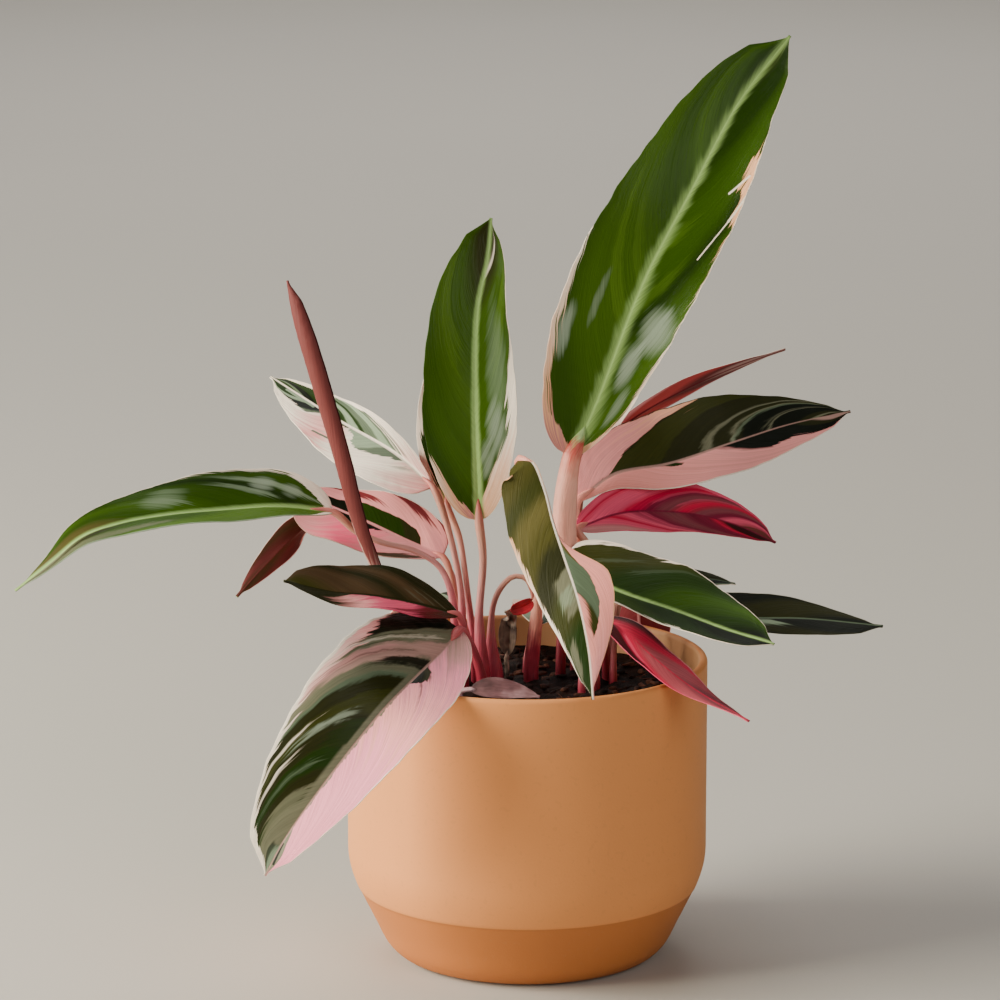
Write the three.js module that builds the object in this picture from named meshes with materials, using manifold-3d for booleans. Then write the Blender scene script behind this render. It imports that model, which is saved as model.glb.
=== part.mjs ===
// A prayer plant with pink, cream and green leaves, standing in its round ceramic pot.
// Millimetres, +Z up. The origin is the middle of the pot's foot, on the surface the pot stands on.
// The plant is seen from -Y at its best: the tall leaf leans to +X and the broad front leaf droops to -X.
import * as THREE from 'three';
import { mergeVertices } from 'three/addons/utils/BufferGeometryUtils.js';
import Module from 'manifold-3d';

const wasm = await Module();
wasm.setup();

// ---- Driving dimensions ----
const POT_RADIUS = 90;
const POT_HEIGHT = 152;
const WALL = 4.5;
const FOOT_RADIUS = 61;
const CONE_RADIUS = 85.5; // where the sloping foot cone meets the upright wall
const CONE_HEIGHT = 39;
const FLOOR = 7; // thickness of the pot's bottom
const LIP = 2; // rounding of the rim
const LIP_STEPS = 4;
const POT_SEGMENTS = 40;

const SOIL_TOP = 136;
const SOIL_RELIEF = 2.6;
const SOIL_RINGS = 6;
const SOIL_SEGMENTS = POT_SEGMENTS / 2; // its corners stand in the pot's corners
const SEAT = 0.3; // clearance between pieces that touch
const BARK_COUNT = 14;
const BARK_SEED = 7;
const BARK_REACH = 74; // bark lies within this distance of the middle of the pot
const STEM_ROOM = 13; // bark lies at least this far from the middle of a stem
const ROOTING_DEPTH = 12; // how far a stem stands in the soil
const HOLE_ROOM = 0.7; // a stem's hole is wider than the stem by this much all round
const HOLE_DEPTH = ROOTING_DEPTH + 0.5;
const HOLE_SIDES = 7;

const BLADE_THICKNESS = 0.9;
const ROW_SPACING = 18; // length of blade that one row of faces covers
const FEWEST_ROWS = 6;
const BROAD = 14; // a half-blade wider than this is split in three strips, others in two
const NARROWEST = 0.8; // half-width of a blade at its very base and tip
const SIDE_PHASE = 1.9; // by how much the right edge's waves run ahead of the left edge's
const ROW_GATHER = 0.07; // how far rows of faces are drawn towards the base and the tip
const POINT_LENGTH = 0.07; // share of the midrib along which a blade narrows to its point
const POINT_SHARPNESS = 0.6;
const STALK_SIDES = 6;
const STEP_LENGTH = 14; // length of stalk that one ring of faces covers
const FEWEST_STEPS = 5;
const STALK_OVERLAP = 0.07; // share of the midrib that the stalk runs along under the blade

// ---- Leaves ----
// stem: from just above the soil to the blade. rib: the midrib, from base to tip.
// face: the way the upper side looks, at base and tip (or base, middle and tip).
// left, right: the half-blades on either side of the midrib, seen from above with the tip up.
// wave: height, number of waves and phase of the edge. thick: stalk radius at soil, middle and blade.
//
// A half-blade is widest (wide) at the share full of its length. base and tip say how pointed its two
// ends are, and small is blunt. fold is the angle in radians by which it is raised from flat at the
// midrib, and cup is its further curl to the edge.
const half = (wide, full, base, tip, fold, cup) => ({ wide, full, base, tip, fold, cup });

const LEAVES = [
  {
    name: 'leaf_tall_right',
    stem: [[32, 4, 142], [28, 6, 168], [19, 8, 205]],
    rib: [[22, 6, 252], [34, 8, 280], [57, 12, 339], [81, 20, 384], [104, 32, 425], [130, 44, 457]],
    face: [[0.2, -1, 0.1], [-0.1, -1, 0.2]],
    left: half(37, 0.32, 0.38, 0.57, 0.12, 0.1),
    right: half(28.5, 0.5, 0.62, 0.55, 0.2, 0.1),
    wave: [1.5, 2.5, 0.4], thick: [4.2, 6, 4.8], colour: 0x2f5a1c,
  },
  {
    name: 'leaf_upright_centre',
    stem: [[-22, -5, 142], [-24, -7, 172], [-22, -8, 204]],
    rib: [[-24, -8, 223], [-26, -2, 279], [-25, 8, 326], [-20, 16, 350], [-18, 24, 369]],
    face: [[0.1, -1, 0.1], [0.3, -1, 0.3]],
    left: half(28, 0.4, 0.45, 0.45, 0.15, 0.1),
    right: half(21, 0.35, 0.5, 0.78, 0.2, 0.1),
    wave: [1.5, 2, 1.2], thick: [3.8, 1.9, 2.3], colour: 0x33601f,
  },
  {
    name: 'leaf_pale_left',
    stem: [[-33, 4, 142], [-33, 4, 183], [-40, 9, 217]],
    rib: [[-47, 14, 235], [-65, 30, 248], [-95, 58, 260], [-131, 88, 277]],
    face: [[-0.2, -0.6, 1], [-0.1, -0.8, 1]],
    left: half(27, 0.3, 0.35, 0.8, 0.15, 0.1),
    right: half(12.5, 0.55, 0.8, 0.8, 0.2, 0.1),
    wave: [1.5, 2, 0.2], thick: [2.6, 1.6, 2], colour: 0xe6c9bb,
  },
  {
    name: 'leaf_long_left',
    stem: [[-39, -4, 142], [-36, -5, 166], [-38, -5, 186], [-44, -5, 199], [-56, -6, 207], [-73, -8, 212],
      [-85, -10, 218]],
    rib: [[-96, -12, 228], [-121, -22, 233], [-148, -34, 234], [-175, -46, 234], [-197, -56, 232],
      [-215, -63, 227], [-231, -70, 215], [-247, -76, 203]],
    face: [[-0.2, -0.9, 0.9], [-0.3, -0.9, 0.9]],
    left: half(16, 0.45, 0.55, 0.8, 0.45, 0.1),
    right: half(22.5, 0.22, 0.4, 1.2, 0.1, 0.1),
    wave: [1.2, 2.5, 0.6], thick: [2.6, 1.5, 1.9], colour: 0x3a6321,
  },
  {
    name: 'leaf_rolled_new',
    stem: [[-40, -13, 144], [-52, -15, 166], [-65, -16, 182]],
    rib: [[-71, -16, 189], [-84, -16, 219], [-95.5, -14, 260], [-107, -10, 299], [-114, -6, 323],
      [-118, -2, 342]],
    face: [[0.9, -0.5, 0.1], [0.9, -0.5, 0.1]],
    left: half(15, 0.75, 0.3, 0.5, 0, 2.9),
    right: half(17, 0.72, 0.3, 0.5, 0, 4.6),
    wave: [0, 1, 0], thick: [2.4, 1.7, 2.2], colour: 0x9a5a60,
  },
  {
    name: 'leaf_low_left',
    stem: [[-31, -12, 142], [-31, -18, 160]],
    rib: [[-34, -26, 179], [-54, -36, 187], [-76, -48, 194], [-95, -58, 198], [-118, -68, 206]],
    face: [[-0.2, -0.8, 1], [-0.1, -0.8, 1]],
    left: half(12, 0.45, 0.6, 0.8, 0.2, 0),
    right: half(21, 0.42, 0.6, 0.55, 0.1, -0.1),
    wave: [1.2, 2, 2], thick: [2.2, 1.5, 1.8], colour: 0x4a4a2c,
  },
  {
    name: 'leaf_mid_left',
    stem: [[-26, 9, 142], [-36, 10, 182]],
    rib: [[-42, 12, 200], [-59, 18, 206], [-79, 26, 214], [-99, 34, 221], [-116, 40, 228]],
    face: [[-0.2, -0.8, 1], [-0.2, -0.8, 1]],
    left: half(22, 0.75, 0.7, 0.45, 0.1, 0.1),
    right: half(22, 0.3, 0.35, 0.8, 0.05, 0),
    wave: [1.2, 2, 0], thick: [2.2, 1.5, 1.8], colour: 0xc98f8c,
  },
  {
    name: 'leaf_maroon_left',
    stem: [[-33, 15, 142], [-34, 24, 175], [-41, 38, 191], [-54, 58, 199]],
    rib: [[-73, 74, 205], [-93, 62, 215], [-112, 48, 208], [-131, 34, 192], [-146, 22, 177]],
    face: [[0.2, 0.8, 1], [0.6, 1, 0.4]],
    left: half(9, 0.5, 0.6, 0.9, 0.1, 0.1),
    right: half(9, 0.5, 0.6, 0.9, 0.1, 0.1),
    wave: [1, 2, 1], thick: [2.2, 1.4, 1.7], colour: 0x5a1f20,
  },
  {
    name: 'leaf_front_left',
    stem: [[-22, -19, 142], [-26, -22, 158]],
    rib: [[-33, -28, 172], [-43, -52, 166], [-58, -82, 158], [-70, -98, 149], [-97, -114, 118],
      [-117, -118, 90], [-126, -118, 73]],
    face: [[0, -1, 0.3], [0, -1, 0.3], [0, -1, 0.3]],
    left: half(27, 0.42, 0.7, 0.65, 0.45, 0.1),
    right: half(38, 0.4, 0.3, 0.55, 0.1, -0.2),
    wave: [1.5, 2, 0.8], thick: [2.8, 2.2, 2.4], colour: 0xe2b9bd,
  },
  {
    name: 'leaf_front_centre',
    stem: [[2, 12, 142], [5, 3, 180], [4, -6, 224], [-3, -12, 246]],
    rib: [[-4, -18, 256], [2, -25, 256], [8, -34, 244], [12, -43, 230], [17, -54, 216], [24, -68, 197],
      [29, -82, 175], [31, -95, 154]],
    face: [[-0.2, -0.4, 1], [-0.1, -1, 0.5], [0, -1, 0.5]],
    left: half(19, 0.57, 18, 1.5, -0.1, -0.1),
    right: half(23, 0.3, 0.3, 0.8, -0.1, -0.1),
    wave: [1, 2, 1], thick: [3.8, 2, 2.4], colour: 0x5b6a3a,
  },
  {
    name: 'leaf_wide_right',
    stem: [[31, 21, 142], [28, 20, 188]],
    rib: [[25, 20, 226], [43, 30, 238], [72, 44, 241], [106, 60, 249], [134, 74, 255], [166, 88, 259]],
    face: [[0.1, -1, 0.7], [0.1, -1, 0.6]],
    left: half(29, 0.4, 0.6, 0.95, 0.05, 0.1),
    right: half(16, 0.56, 0.8, 0.65, -0.1, -0.1),
    wave: [1.5, 2, 0.6], thick: [2.6, 1.7, 2.1], colour: 0x4a5a3a,
  },
  {
    name: 'leaf_crimson_right',
    stem: [[40, 14, 142], [37, 15, 180], [32, 14, 203]],
    rib: [[25, 14, 214], [47, 27, 219], [83, 54, 213], [109, 70, 203], [128, 80, 192]],
    face: [[0.2, 1, -0.2], [0.3, 1, 0]],
    left: half(11.5, 0.45, 0.5, 0.7, 0.1, 0.1),
    right: half(16, 0.42, 0.45, 0.7, 0.1, 0.1),
    wave: [1.2, 2, 0.3], thick: [2.4, 1.5, 1.9], colour: 0xa81f45,
  },
  {
    name: 'leaf_low_right',
    stem: [[34, -6, 142], [24, -4, 176]],
    rib: [[15, -8, 202], [42, -26, 192], [73, -44, 185], [97, -58, 179], [119, -70, 175]],
    face: [[0.2, -0.9, 1], [0.2, -0.9, 1]],
    left: half(28, 0.34, 0.2, 0.66, 0.1, 0),
    right: half(22, 0.68, 0.8, 0.5, 0.5, 0.1),
    wave: [1.2, 2.5, 0], thick: [2.4, 1.6, 2], colour: 0x2c5520,
  },
  {
    name: 'leaf_far_right',
    stem: [[43, 6, 142], [44, 10, 162]],
    rib: [[47, 14, 176], [82, 18, 170], [110, 14, 168], [138, 8, 169], [177, -4, 168]],
    face: [[0.2, -0.8, 1], [0.2, -0.8, 1]],
    left: half(15, 0.45, 0.5, 1.1, 0.1, 0),
    right: half(11, 0.75, 1.3, 0.6, 0.1, 0),
    wave: [1, 2, 1], thick: [2.2, 1.5, 1.8], colour: 0x2a3a22,
  },
  {
    name: 'leaf_small_right',
    stem: [[40, 22, 142], [43, 28, 160]],
    rib: [[48, 34, 174], [68, 48, 177], [89, 62, 177], [107, 72, 172]],
    face: [[0, -0.5, 1], [0, -0.5, 1]],
    left: half(10, 0.45, 0.5, 0.9, 0.1, 0),
    right: half(10, 0.45, 0.5, 0.9, 0.1, 0),
    wave: [0.6, 2, 1], thick: [1.8, 1.3, 1.5], colour: 0x2a3a22,
  },
  {
    name: 'leaf_rim_right',
    stem: [[27, -13, 142], [29, -10, 156], [30, -8, 166]],
    rib: [[34, -9, 174], [46, -22, 172], [60, -42, 163], [80, -70, 153], [106, -94, 143]],
    face: [[0.2, -0.6, 1], [0.3, -0.5, 1]],
    left: half(15, 0.3, 0.5, 1.1, -0.2, 0),
    right: half(9, 0.35, 0.5, 1.1, -0.2, 0),
    wave: [1, 2, 1], thick: [2, 1.5, 1.8], colour: 0xc04a68,
  },
  {
    name: 'leaf_thin_right',
    stem: [[24, 28, 142], [25, 42, 194], [30, 55, 235]],
    rib: [[37, 62, 248], [58, 74, 261], [84, 90, 272], [110, 106, 280], [134, 118, 286]],
    face: [[0.2, 1, 0.4], [0.2, 1, 0.4]],
    left: half(5.5, 0.4, 0.6, 1.3, 0.1, 0),
    right: half(5.5, 0.4, 0.6, 1.3, 0.1, 0),
    wave: [0.5, 2, 0], thick: [2.2, 1.5, 1.8], colour: 0xa5404e,
  },
  {
    name: 'leaf_back_upright',
    stem: [[-26, 17, 142], [-31, 13, 191], [-34, 16, 209]],
    rib: [[-40, 22, 224], [-41, 34, 255], [-36, 46, 288], [-30, 60, 322]],
    face: [[-0.2, -1, 0.4], [0.1, -1, 0.6]],
    left: half(16, 0.45, 0.6, 0.8, 0.15, 0.1),
    right: half(18, 0.45, 0.6, 0.8, 0.15, 0.1),
    wave: [1.2, 2, 0.5], thick: [2.4, 1.5, 1.9], colour: 0x3b6326,
  },
  {
    name: 'leaf_back_tall',
    stem: [[17, 22, 142], [19, 31, 195]],
    rib: [[23, 54, 236], [37, 66, 269], [58, 84, 312], [78, 106, 353]],
    face: [[0.1, -1, 0.5], [0, -1, 0.7]],
    left: half(22, 0.42, 0.55, 0.75, 0.12, 0.1),
    right: half(19, 0.45, 0.6, 0.75, 0.15, 0.1),
    wave: [1.4, 2, 1.4], thick: [2.6, 1.7, 2.1], colour: 0x39601f,
  },
  {
    name: 'leaf_back_low_left',
    stem: [[-18, 26, 142], [-25, 34, 157]],
    rib: [[-34, 48, 166], [-45, 74, 166], [-52, 100, 153], [-58, 124, 124], [-60, 137, 94]],
    face: [[-0.2, 0.2, 1], [-0.3, 0.6, 0.8], [-0.3, 1, 0.3]],
    left: half(22, 0.45, 0.55, 0.75, -0.1, 0.1),
    right: half(20, 0.45, 0.55, 0.75, 0, 0.1),
    wave: [1.2, 2, 0.9], thick: [2.4, 1.6, 2], colour: 0x557040,
  },
  {
    name: 'leaf_back_low_centre',
    stem: [[0, 30, 142], [2, 38, 151]],
    rib: [[6, 48, 156], [9, 72, 159], [12, 98, 155], [13, 124, 126], [11, 138, 92]],
    face: [[0, 0.2, 1], [0, 0.7, 0.8], [0, 1, 0.3]],
    left: half(20, 0.45, 0.55, 0.75, 0.1, 0.1),
    right: half(22, 0.45, 0.55, 0.75, 0.1, 0.1),
    wave: [1.2, 2.5, 0.3], thick: [2.4, 1.6, 2], colour: 0xd9a9ae,
  },
  {
    name: 'leaf_back_low_right',
    stem: [[30, 35, 142], [37, 42, 158]],
    rib: [[44, 50, 168], [54, 78, 168], [58, 104, 156], [60, 122, 128], [60, 130, 98]],
    face: [[0.1, 0.2, 1], [0.2, 0.7, 0.8], [0.2, 1, 0.3]],
    left: half(21, 0.45, 0.55, 0.75, 0.1, 0.1),
    right: half(19, 0.45, 0.55, 0.75, 0, 0.1),
    wave: [1.2, 2, 1.8], thick: [2.4, 1.6, 2], colour: 0x4c6a35,
  },
  {
    name: 'leaf_withered',
    stem: [[-16, 2, 142], [-18, 0, 160], [-17, -2, 178], [-13, -4, 188], [-7, -4, 193.5], [-1, -4, 192.5],
      [2, -5, 187]],
    rib: [[2.5, -6, 181.5], [-2, -8, 179], [-8.5, -10, 177.5]],
    face: [[0.2, -1, 0.1], [0.2, -1, 0.1]],
    left: half(3.8, 0.5, 0.3, 0.3, 0.2, 0.3),
    right: half(3.8, 0.5, 0.3, 0.3, 0.2, 0.3),
    wave: [0.6, 1, 0], thick: [4.2, 1.5, 1.2], colour: 0xb0202c,
  },
  {
    name: 'leaf_dead_upright',
    stem: [[-10, 14, 142], [-10.5, 13, 146]],
    rib: [[-10, 11, 150], [-8.5, 9.5, 161], [-8, 7, 170], [-11, 3, 174]],
    face: [[-0.3, -1, 0.2], [-0.6, -1, 0.8]],
    left: half(6, 0.5, 0.4, 0.5, 0.3, 0.5),
    right: half(6, 0.5, 0.4, 0.5, 0.3, 0.5),
    wave: [0.5, 1, 0], thick: [1.6, 1.2, 1.2], colour: 0x6d6148,
  },
  {
    name: 'leaf_dead_fallen',
    stem: [[-33, -29, 141], [-31, -30, 142]],
    rib: [[-28, -31, 142.5], [-18, -33, 143], [-6, -34, 142], [6, -36, 140]],
    face: [[0, -1, 0.6], [0, -1, 1]],
    left: half(6.5, 0.35, 0.5, 0.8, 0, 0.2),
    right: half(4.5, 0.35, 0.5, 0.8, 0, 0.2),
    wave: [0.6, 1, 0], thick: [1.6, 1.3, 1.3], colour: 0x9c7478,
  },
];

// ---- Solids ----

function toSolid(geometry) {
  const bare = geometry.index ? geometry.toNonIndexed() : geometry.clone();
  bare.deleteAttribute('normal');
  bare.deleteAttribute('uv');
  const merged = mergeVertices(bare, 1e-4);
  return new wasm.Manifold(new wasm.Mesh({
    numProp: 3,
    vertProperties: new Float32Array(merged.attributes.position.array),
    triVerts: new Uint32Array(merged.index.array),
  }));
}

function toGeometry(solid) {
  const mesh = solid.getMesh();
  const geometry = new THREE.BufferGeometry();
  geometry.setAttribute('position', new THREE.BufferAttribute(mesh.vertProperties, 3));
  geometry.setIndex(new THREE.BufferAttribute(mesh.triVerts, 1));
  geometry.computeVertexNormals();
  return geometry;
}

// A repeatable random number from 0 to 1.
function seeded(seed) {
  let state = seed;
  return () => {
    state = (state * 1664525 + 1013904223) % 4294967296;
    return state / 4294967296;
  };
}

// ---- Leaf ----

const points = (list) => list.map((p) => new THREE.Vector3(...p));

// Rows lie closer together towards the base and the tip, where the outline turns most.
const rowAt = (x) => x - ROW_GATHER * Math.sin(2 * Math.PI * x);

// The outline of a half-blade: 0 at both ends of the midrib and 1 where it is widest.
function swell(t, { full, base, tip }) {
  if (t < full) return Math.sin(Math.PI / 2 * t / full) ** base;
  const point = Math.min(1, (1 - t) / POINT_LENGTH) ** POINT_SHARPNESS;
  return point * Math.max(0, Math.cos(Math.PI / 2 * (t - full) / (1 - full))) ** tip;
}

// A value that runs straight from one list entry to the next as t goes from 0 to 1.
function along(list, t) {
  const x = t * (list.length - 1);
  const i = Math.min(list.length - 2, Math.floor(x));
  return points([list[i]])[0].lerp(points([list[i + 1]])[0], x - i);
}

// A point of the blade's middle sheet: t runs along the midrib, u from the left edge (-1) to the right.
function bladePoint(leaf, rib, t, u) {
  const tangent = rib.getTangentAt(t);
  const face = along(leaf.face, t);
  face.addScaledVector(tangent, -face.dot(tangent)).normalize();
  const side = tangent.clone().cross(face);
  const flank = u < 0 ? leaf.left : leaf.right;
  const reach = Math.abs(u);
  const width = Math.max(NARROWEST, flank.wide * swell(t, flank));
  const start = flank.fold;
  const curl = flank.cup;
  // The half-blade's section is an arc that starts at the angle start and turns by curl.
  let out = Math.cos(start) * reach;
  let up = Math.sin(start) * reach;
  if (Math.abs(curl) > 1e-6) {
    out = (Math.sin(start + curl * reach) - Math.sin(start)) / curl;
    up = (Math.cos(start) - Math.cos(start + curl * reach)) / curl;
  }
  const [height, count, phase] = leaf.wave;
  const ruffle = height * reach * reach * Math.sin(Math.PI * t)
    * Math.sin(2 * Math.PI * count * t + phase + (u < 0 ? 0 : SIDE_PHASE));
  return rib.getPointAt(t)
    .addScaledVector(side, Math.sign(u) * out * width)
    .addScaledVector(face, up * width + ruffle);
}

function bladeGeometry(leaf, rib) {
  const rows = Math.max(FEWEST_ROWS, Math.round(rib.getLength() / ROW_SPACING));
  const strips = Math.max(leaf.left.wide, leaf.right.wide) > BROAD ? 3 : 2;
  const columns = 2 * strips;
  const sheet = [];
  for (let i = 0; i <= rows; i += 1) {
    const t = rowAt(i / rows);
    sheet.push([]);
    for (let j = 0; j <= columns; j += 1) sheet[i].push(bladePoint(leaf, rib, t, j / strips - 1));
  }
  const upper = [];
  const lower = [];
  for (let i = 0; i <= rows; i += 1) {
    for (let j = 0; j <= columns; j += 1) {
      const lengthwise = sheet[Math.min(i + 1, rows)][j].clone().sub(sheet[Math.max(i - 1, 0)][j]);
      const across = sheet[i][Math.min(j + 1, columns)].clone().sub(sheet[i][Math.max(j - 1, 0)]);
      const normal = across.cross(lengthwise).normalize();
      upper.push(sheet[i][j].clone().addScaledVector(normal, BLADE_THICKNESS / 2));
      lower.push(sheet[i][j].clone().addScaledVector(normal, -BLADE_THICKNESS / 2));
    }
  }
  const row = columns + 1;
  const count = upper.length;
  const index = [];
  const quad = (a, b, c, d) => index.push(a, b, c, a, c, d);
  for (let i = 0; i < rows; i += 1) {
    for (let j = 0; j < columns; j += 1) {
      const a = i * row + j;
      quad(a, a + 1, a + row + 1, a + row);
      index.push(count + a, count + a + row + 1, count + a + 1);
      index.push(count + a, count + a + row, count + a + row + 1);
    }
    const left = i * row;
    const right = left + columns;
    quad(left, left + row, count + left + row, count + left);
    quad(right, count + right, count + right + row, right + row);
  }
  for (let j = 0; j < columns; j += 1) {
    const last = rows * row + j;
    quad(j, count + j, count + j + 1, j + 1);
    quad(last, last + 1, count + last + 1, count + last);
  }
  const geometry = new THREE.BufferGeometry();
  geometry.setAttribute('position', new THREE.Float32BufferAttribute(
    [...upper, ...lower].flatMap((p) => p.toArray()), 3));
  geometry.setIndex(index);
  return geometry;
}

// A round stalk along a path whose radius changes from step to step.
function stalkGeometry(path, steps, sides, radiusAt) {
  const ring = new THREE.Shape();
  for (let k = 0; k < sides; k += 1) {
    const angle = 2 * Math.PI * k / sides;
    if (k === 0) ring.moveTo(1, 0);
    else ring.lineTo(Math.cos(angle), Math.sin(angle));
  }
  ring.closePath();
  const stalk = new THREE.ExtrudeGeometry(ring, { steps, extrudePath: path, curveSegments: 1 });
  const centres = path.getSpacedPoints(steps);
  const position = stalk.attributes.position;
  for (let v = 0; v < position.count; v += 1) {
    const point = new THREE.Vector3().fromBufferAttribute(position, v);
    let nearest = 0;
    centres.forEach((centre, i) => {
      if (centre.distanceTo(point) < centres[nearest].distanceTo(point)) nearest = i;
    });
    point.sub(centres[nearest]).multiplyScalar(radiusAt(nearest / steps)).add(centres[nearest]);
    position.setXYZ(v, point.x, point.y, point.z);
  }
  return stalk;
}

// The stalk is a stout sheath in the soil, a thinner stem, and a thicker knee where the blade begins.
function stalkRadius(leaf, s) {
  const [soil, middle, blade] = leaf.thick;
  if (s < 0.55) return THREE.MathUtils.lerp(soil, middle, THREE.MathUtils.smoothstep(s, 0.15, 0.55));
  if (s < 0.9) return THREE.MathUtils.lerp(middle, blade, THREE.MathUtils.smoothstep(s, 0.7, 0.9));
  return THREE.MathUtils.lerp(blade, BLADE_THICKNESS, (s - 0.9) / 0.1);
}

function leafGeometry(leaf) {
  const rib = new THREE.CatmullRomCurve3(points(leaf.rib));
  const [x, y] = leaf.stem[0];
  const path = new THREE.CatmullRomCurve3([
    new THREE.Vector3(x, y, SOIL_TOP - ROOTING_DEPTH),
    new THREE.Vector3(x, y, SOIL_TOP + 1),
    ...points(leaf.stem),
    rib.getPointAt(0),
    rib.getPointAt(STALK_OVERLAP),
  ]);
  const steps = Math.max(FEWEST_STEPS, Math.round(path.getLength() / STEP_LENGTH));
  const stalk = stalkGeometry(path, steps, STALK_SIDES, (s) => stalkRadius(leaf, s));
  return toGeometry(toSolid(bladeGeometry(leaf, rib)).add(toSolid(stalk)));
}

// ---- Pot ----

// The pot's outer face from the foot up, and its inner face down to the floor, as radius and height.
const POT_OUTSIDE = [[0, 0], [FOOT_RADIUS, 0], [66, 2.2], [70.5, 6.5], [73, 10.5],
  [CONE_RADIUS, CONE_HEIGHT], [88.3, 44], [POT_RADIUS, 53], [POT_RADIUS, POT_HEIGHT - LIP]];
const POT_INSIDE = [[POT_RADIUS - WALL, POT_HEIGHT - LIP], [POT_RADIUS - WALL, 56],
  [CONE_RADIUS - WALL, CONE_HEIGHT + 2], [70, 14], [64, FLOOR + 1], [58, FLOOR], [0, FLOOR]];

function potGeometry() {
  const profile = [...POT_OUTSIDE];
  for (let k = 1; k < LIP_STEPS; k += 1) {
    const angle = Math.PI * k / LIP_STEPS;
    profile.push([POT_RADIUS - WALL / 2 * (1 - Math.cos(angle)), POT_HEIGHT - LIP * (1 - Math.sin(angle))]);
  }
  profile.push(...POT_INSIDE);
  const lathe = new THREE.LatheGeometry(profile.map(([r, z]) => new THREE.Vector2(r, z)), POT_SEGMENTS);
  return lathe.rotateX(Math.PI / 2);
}

// ---- Soil ----

// The height of the crumbly surface: low waves of three sizes that fade out at the pot's wall.
function soilHeight(x, y) {
  const edge = 1 - (Math.hypot(x, y) / (POT_RADIUS - WALL)) ** 4;
  const lumps = 0.5 * Math.sin(0.11 * x + 1.3) * Math.cos(0.13 * y) + 0.35 * Math.sin(0.31 * x - 0.2 * y)
    + 0.3 * Math.cos(0.27 * y + 0.36 * x + 2);
  return SOIL_TOP + SOIL_RELIEF * lumps * edge;
}

// A solid of revolution whose top face is a grid of rings that follow soilHeight.
function soilBody() {
  const outside = POT_INSIDE.slice(1).map(([r, z]) => [Math.max(0, r - SEAT), z + SEAT]);
  const rings = [];
  for (let k = 1; k <= SOIL_RINGS; k += 1) {
    rings.push([(POT_RADIUS - WALL - SEAT) * k / SOIL_RINGS, null]);
  }
  rings.push(...outside.slice(0, -1));
  const position = [];
  for (const [r, z] of rings) {
    for (let k = 0; k < SOIL_SEGMENTS; k += 1) {
      const angle = 2 * Math.PI * k / SOIL_SEGMENTS;
      const x = r * Math.cos(angle);
      const y = r * Math.sin(angle);
      position.push(x, y, z === null ? soilHeight(x, y) : z);
    }
  }
  const top = position.length / 3;
  position.push(0, 0, soilHeight(0, 0), 0, 0, FLOOR + SEAT);
  const index = [];
  for (let k = 0; k < SOIL_SEGMENTS; k += 1) {
    const next = (k + 1) % SOIL_SEGMENTS;
    index.push(top, k, next);
    for (let ring = 0; ring < rings.length - 1; ring += 1) {
      const near = ring * SOIL_SEGMENTS;
      const far = near + SOIL_SEGMENTS;
      index.push(near + k, far + k, far + next, near + k, far + next, near + next);
    }
    const last = (rings.length - 1) * SOIL_SEGMENTS;
    index.push(top + 1, last + next, last + k);
  }
  const geometry = new THREE.BufferGeometry();
  geometry.setAttribute('position', new THREE.Float32BufferAttribute(position, 3));
  geometry.setIndex(index);
  return toSolid(geometry);
}

// A chip of bark at a random angle, sunk to half its thickness.
function barkChip(random, x, y) {
  const chip = new THREE.BoxGeometry(5 + 7 * random(), 3 + 3 * random(), 1.6 + 1.4 * random());
  chip.rotateX(0.7 * (random() - 0.5)).rotateY(0.7 * (random() - 0.5)).rotateZ(Math.PI * random());
  return toSolid(chip.translate(x, y, soilHeight(x, y)));
}

function soilGeometry() {
  let soil = soilBody();
  const random = seeded(BARK_SEED);
  const roots = LEAVES.map((leaf) => leaf.stem[0]);
  let placed = 0;
  while (placed < BARK_COUNT) {
    const angle = 2 * Math.PI * random();
    const r = BARK_REACH * Math.sqrt(random());
    const [x, y] = [r * Math.cos(angle), r * Math.sin(angle)];
    if (roots.every((root) => Math.hypot(root[0] - x, root[1] - y) > STEM_ROOM)) {
      soil = soil.add(barkChip(random, x, y));
      placed += 1;
    }
  }
  for (const leaf of LEAVES) {
    const [x, y] = leaf.stem[0];
    const radius = leaf.thick[0] + HOLE_ROOM;
    const hole = new THREE.CylinderGeometry(radius, radius, 2 * HOLE_DEPTH, HOLE_SIDES);
    soil = soil.subtract(toSolid(hole.rotateX(Math.PI / 2).translate(x, y, SOIL_TOP)));
  }
  return toGeometry(soil);
}

// ---- Assembly ----

const plant = new THREE.Group();

function piece(name, geometry, colour, roughness) {
  const material = new THREE.MeshStandardMaterial({ color: colour, roughness, metalness: 0 });
  const mesh = new THREE.Mesh(geometry, material);
  mesh.name = name;
  plant.add(mesh);
}

piece('pot', potGeometry(), 0xcf9566, 0.75);
piece('soil', soilGeometry(), 0x2b1d16, 0.95);
for (const leaf of LEAVES) piece(leaf.name, leafGeometry(leaf), leaf.colour, 0.5);

export default plant;
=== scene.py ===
"""Dresses a potted prayer plant: leaves with pink, cream and green markings, stalks, soil and pot."""

import math
import random
from typing import NamedTuple

import bpy
import numpy as np
from bpy.props import FloatProperty, FloatVectorProperty, IntProperty, PointerProperty
from mathutils import Matrix, Vector, noise


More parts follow.
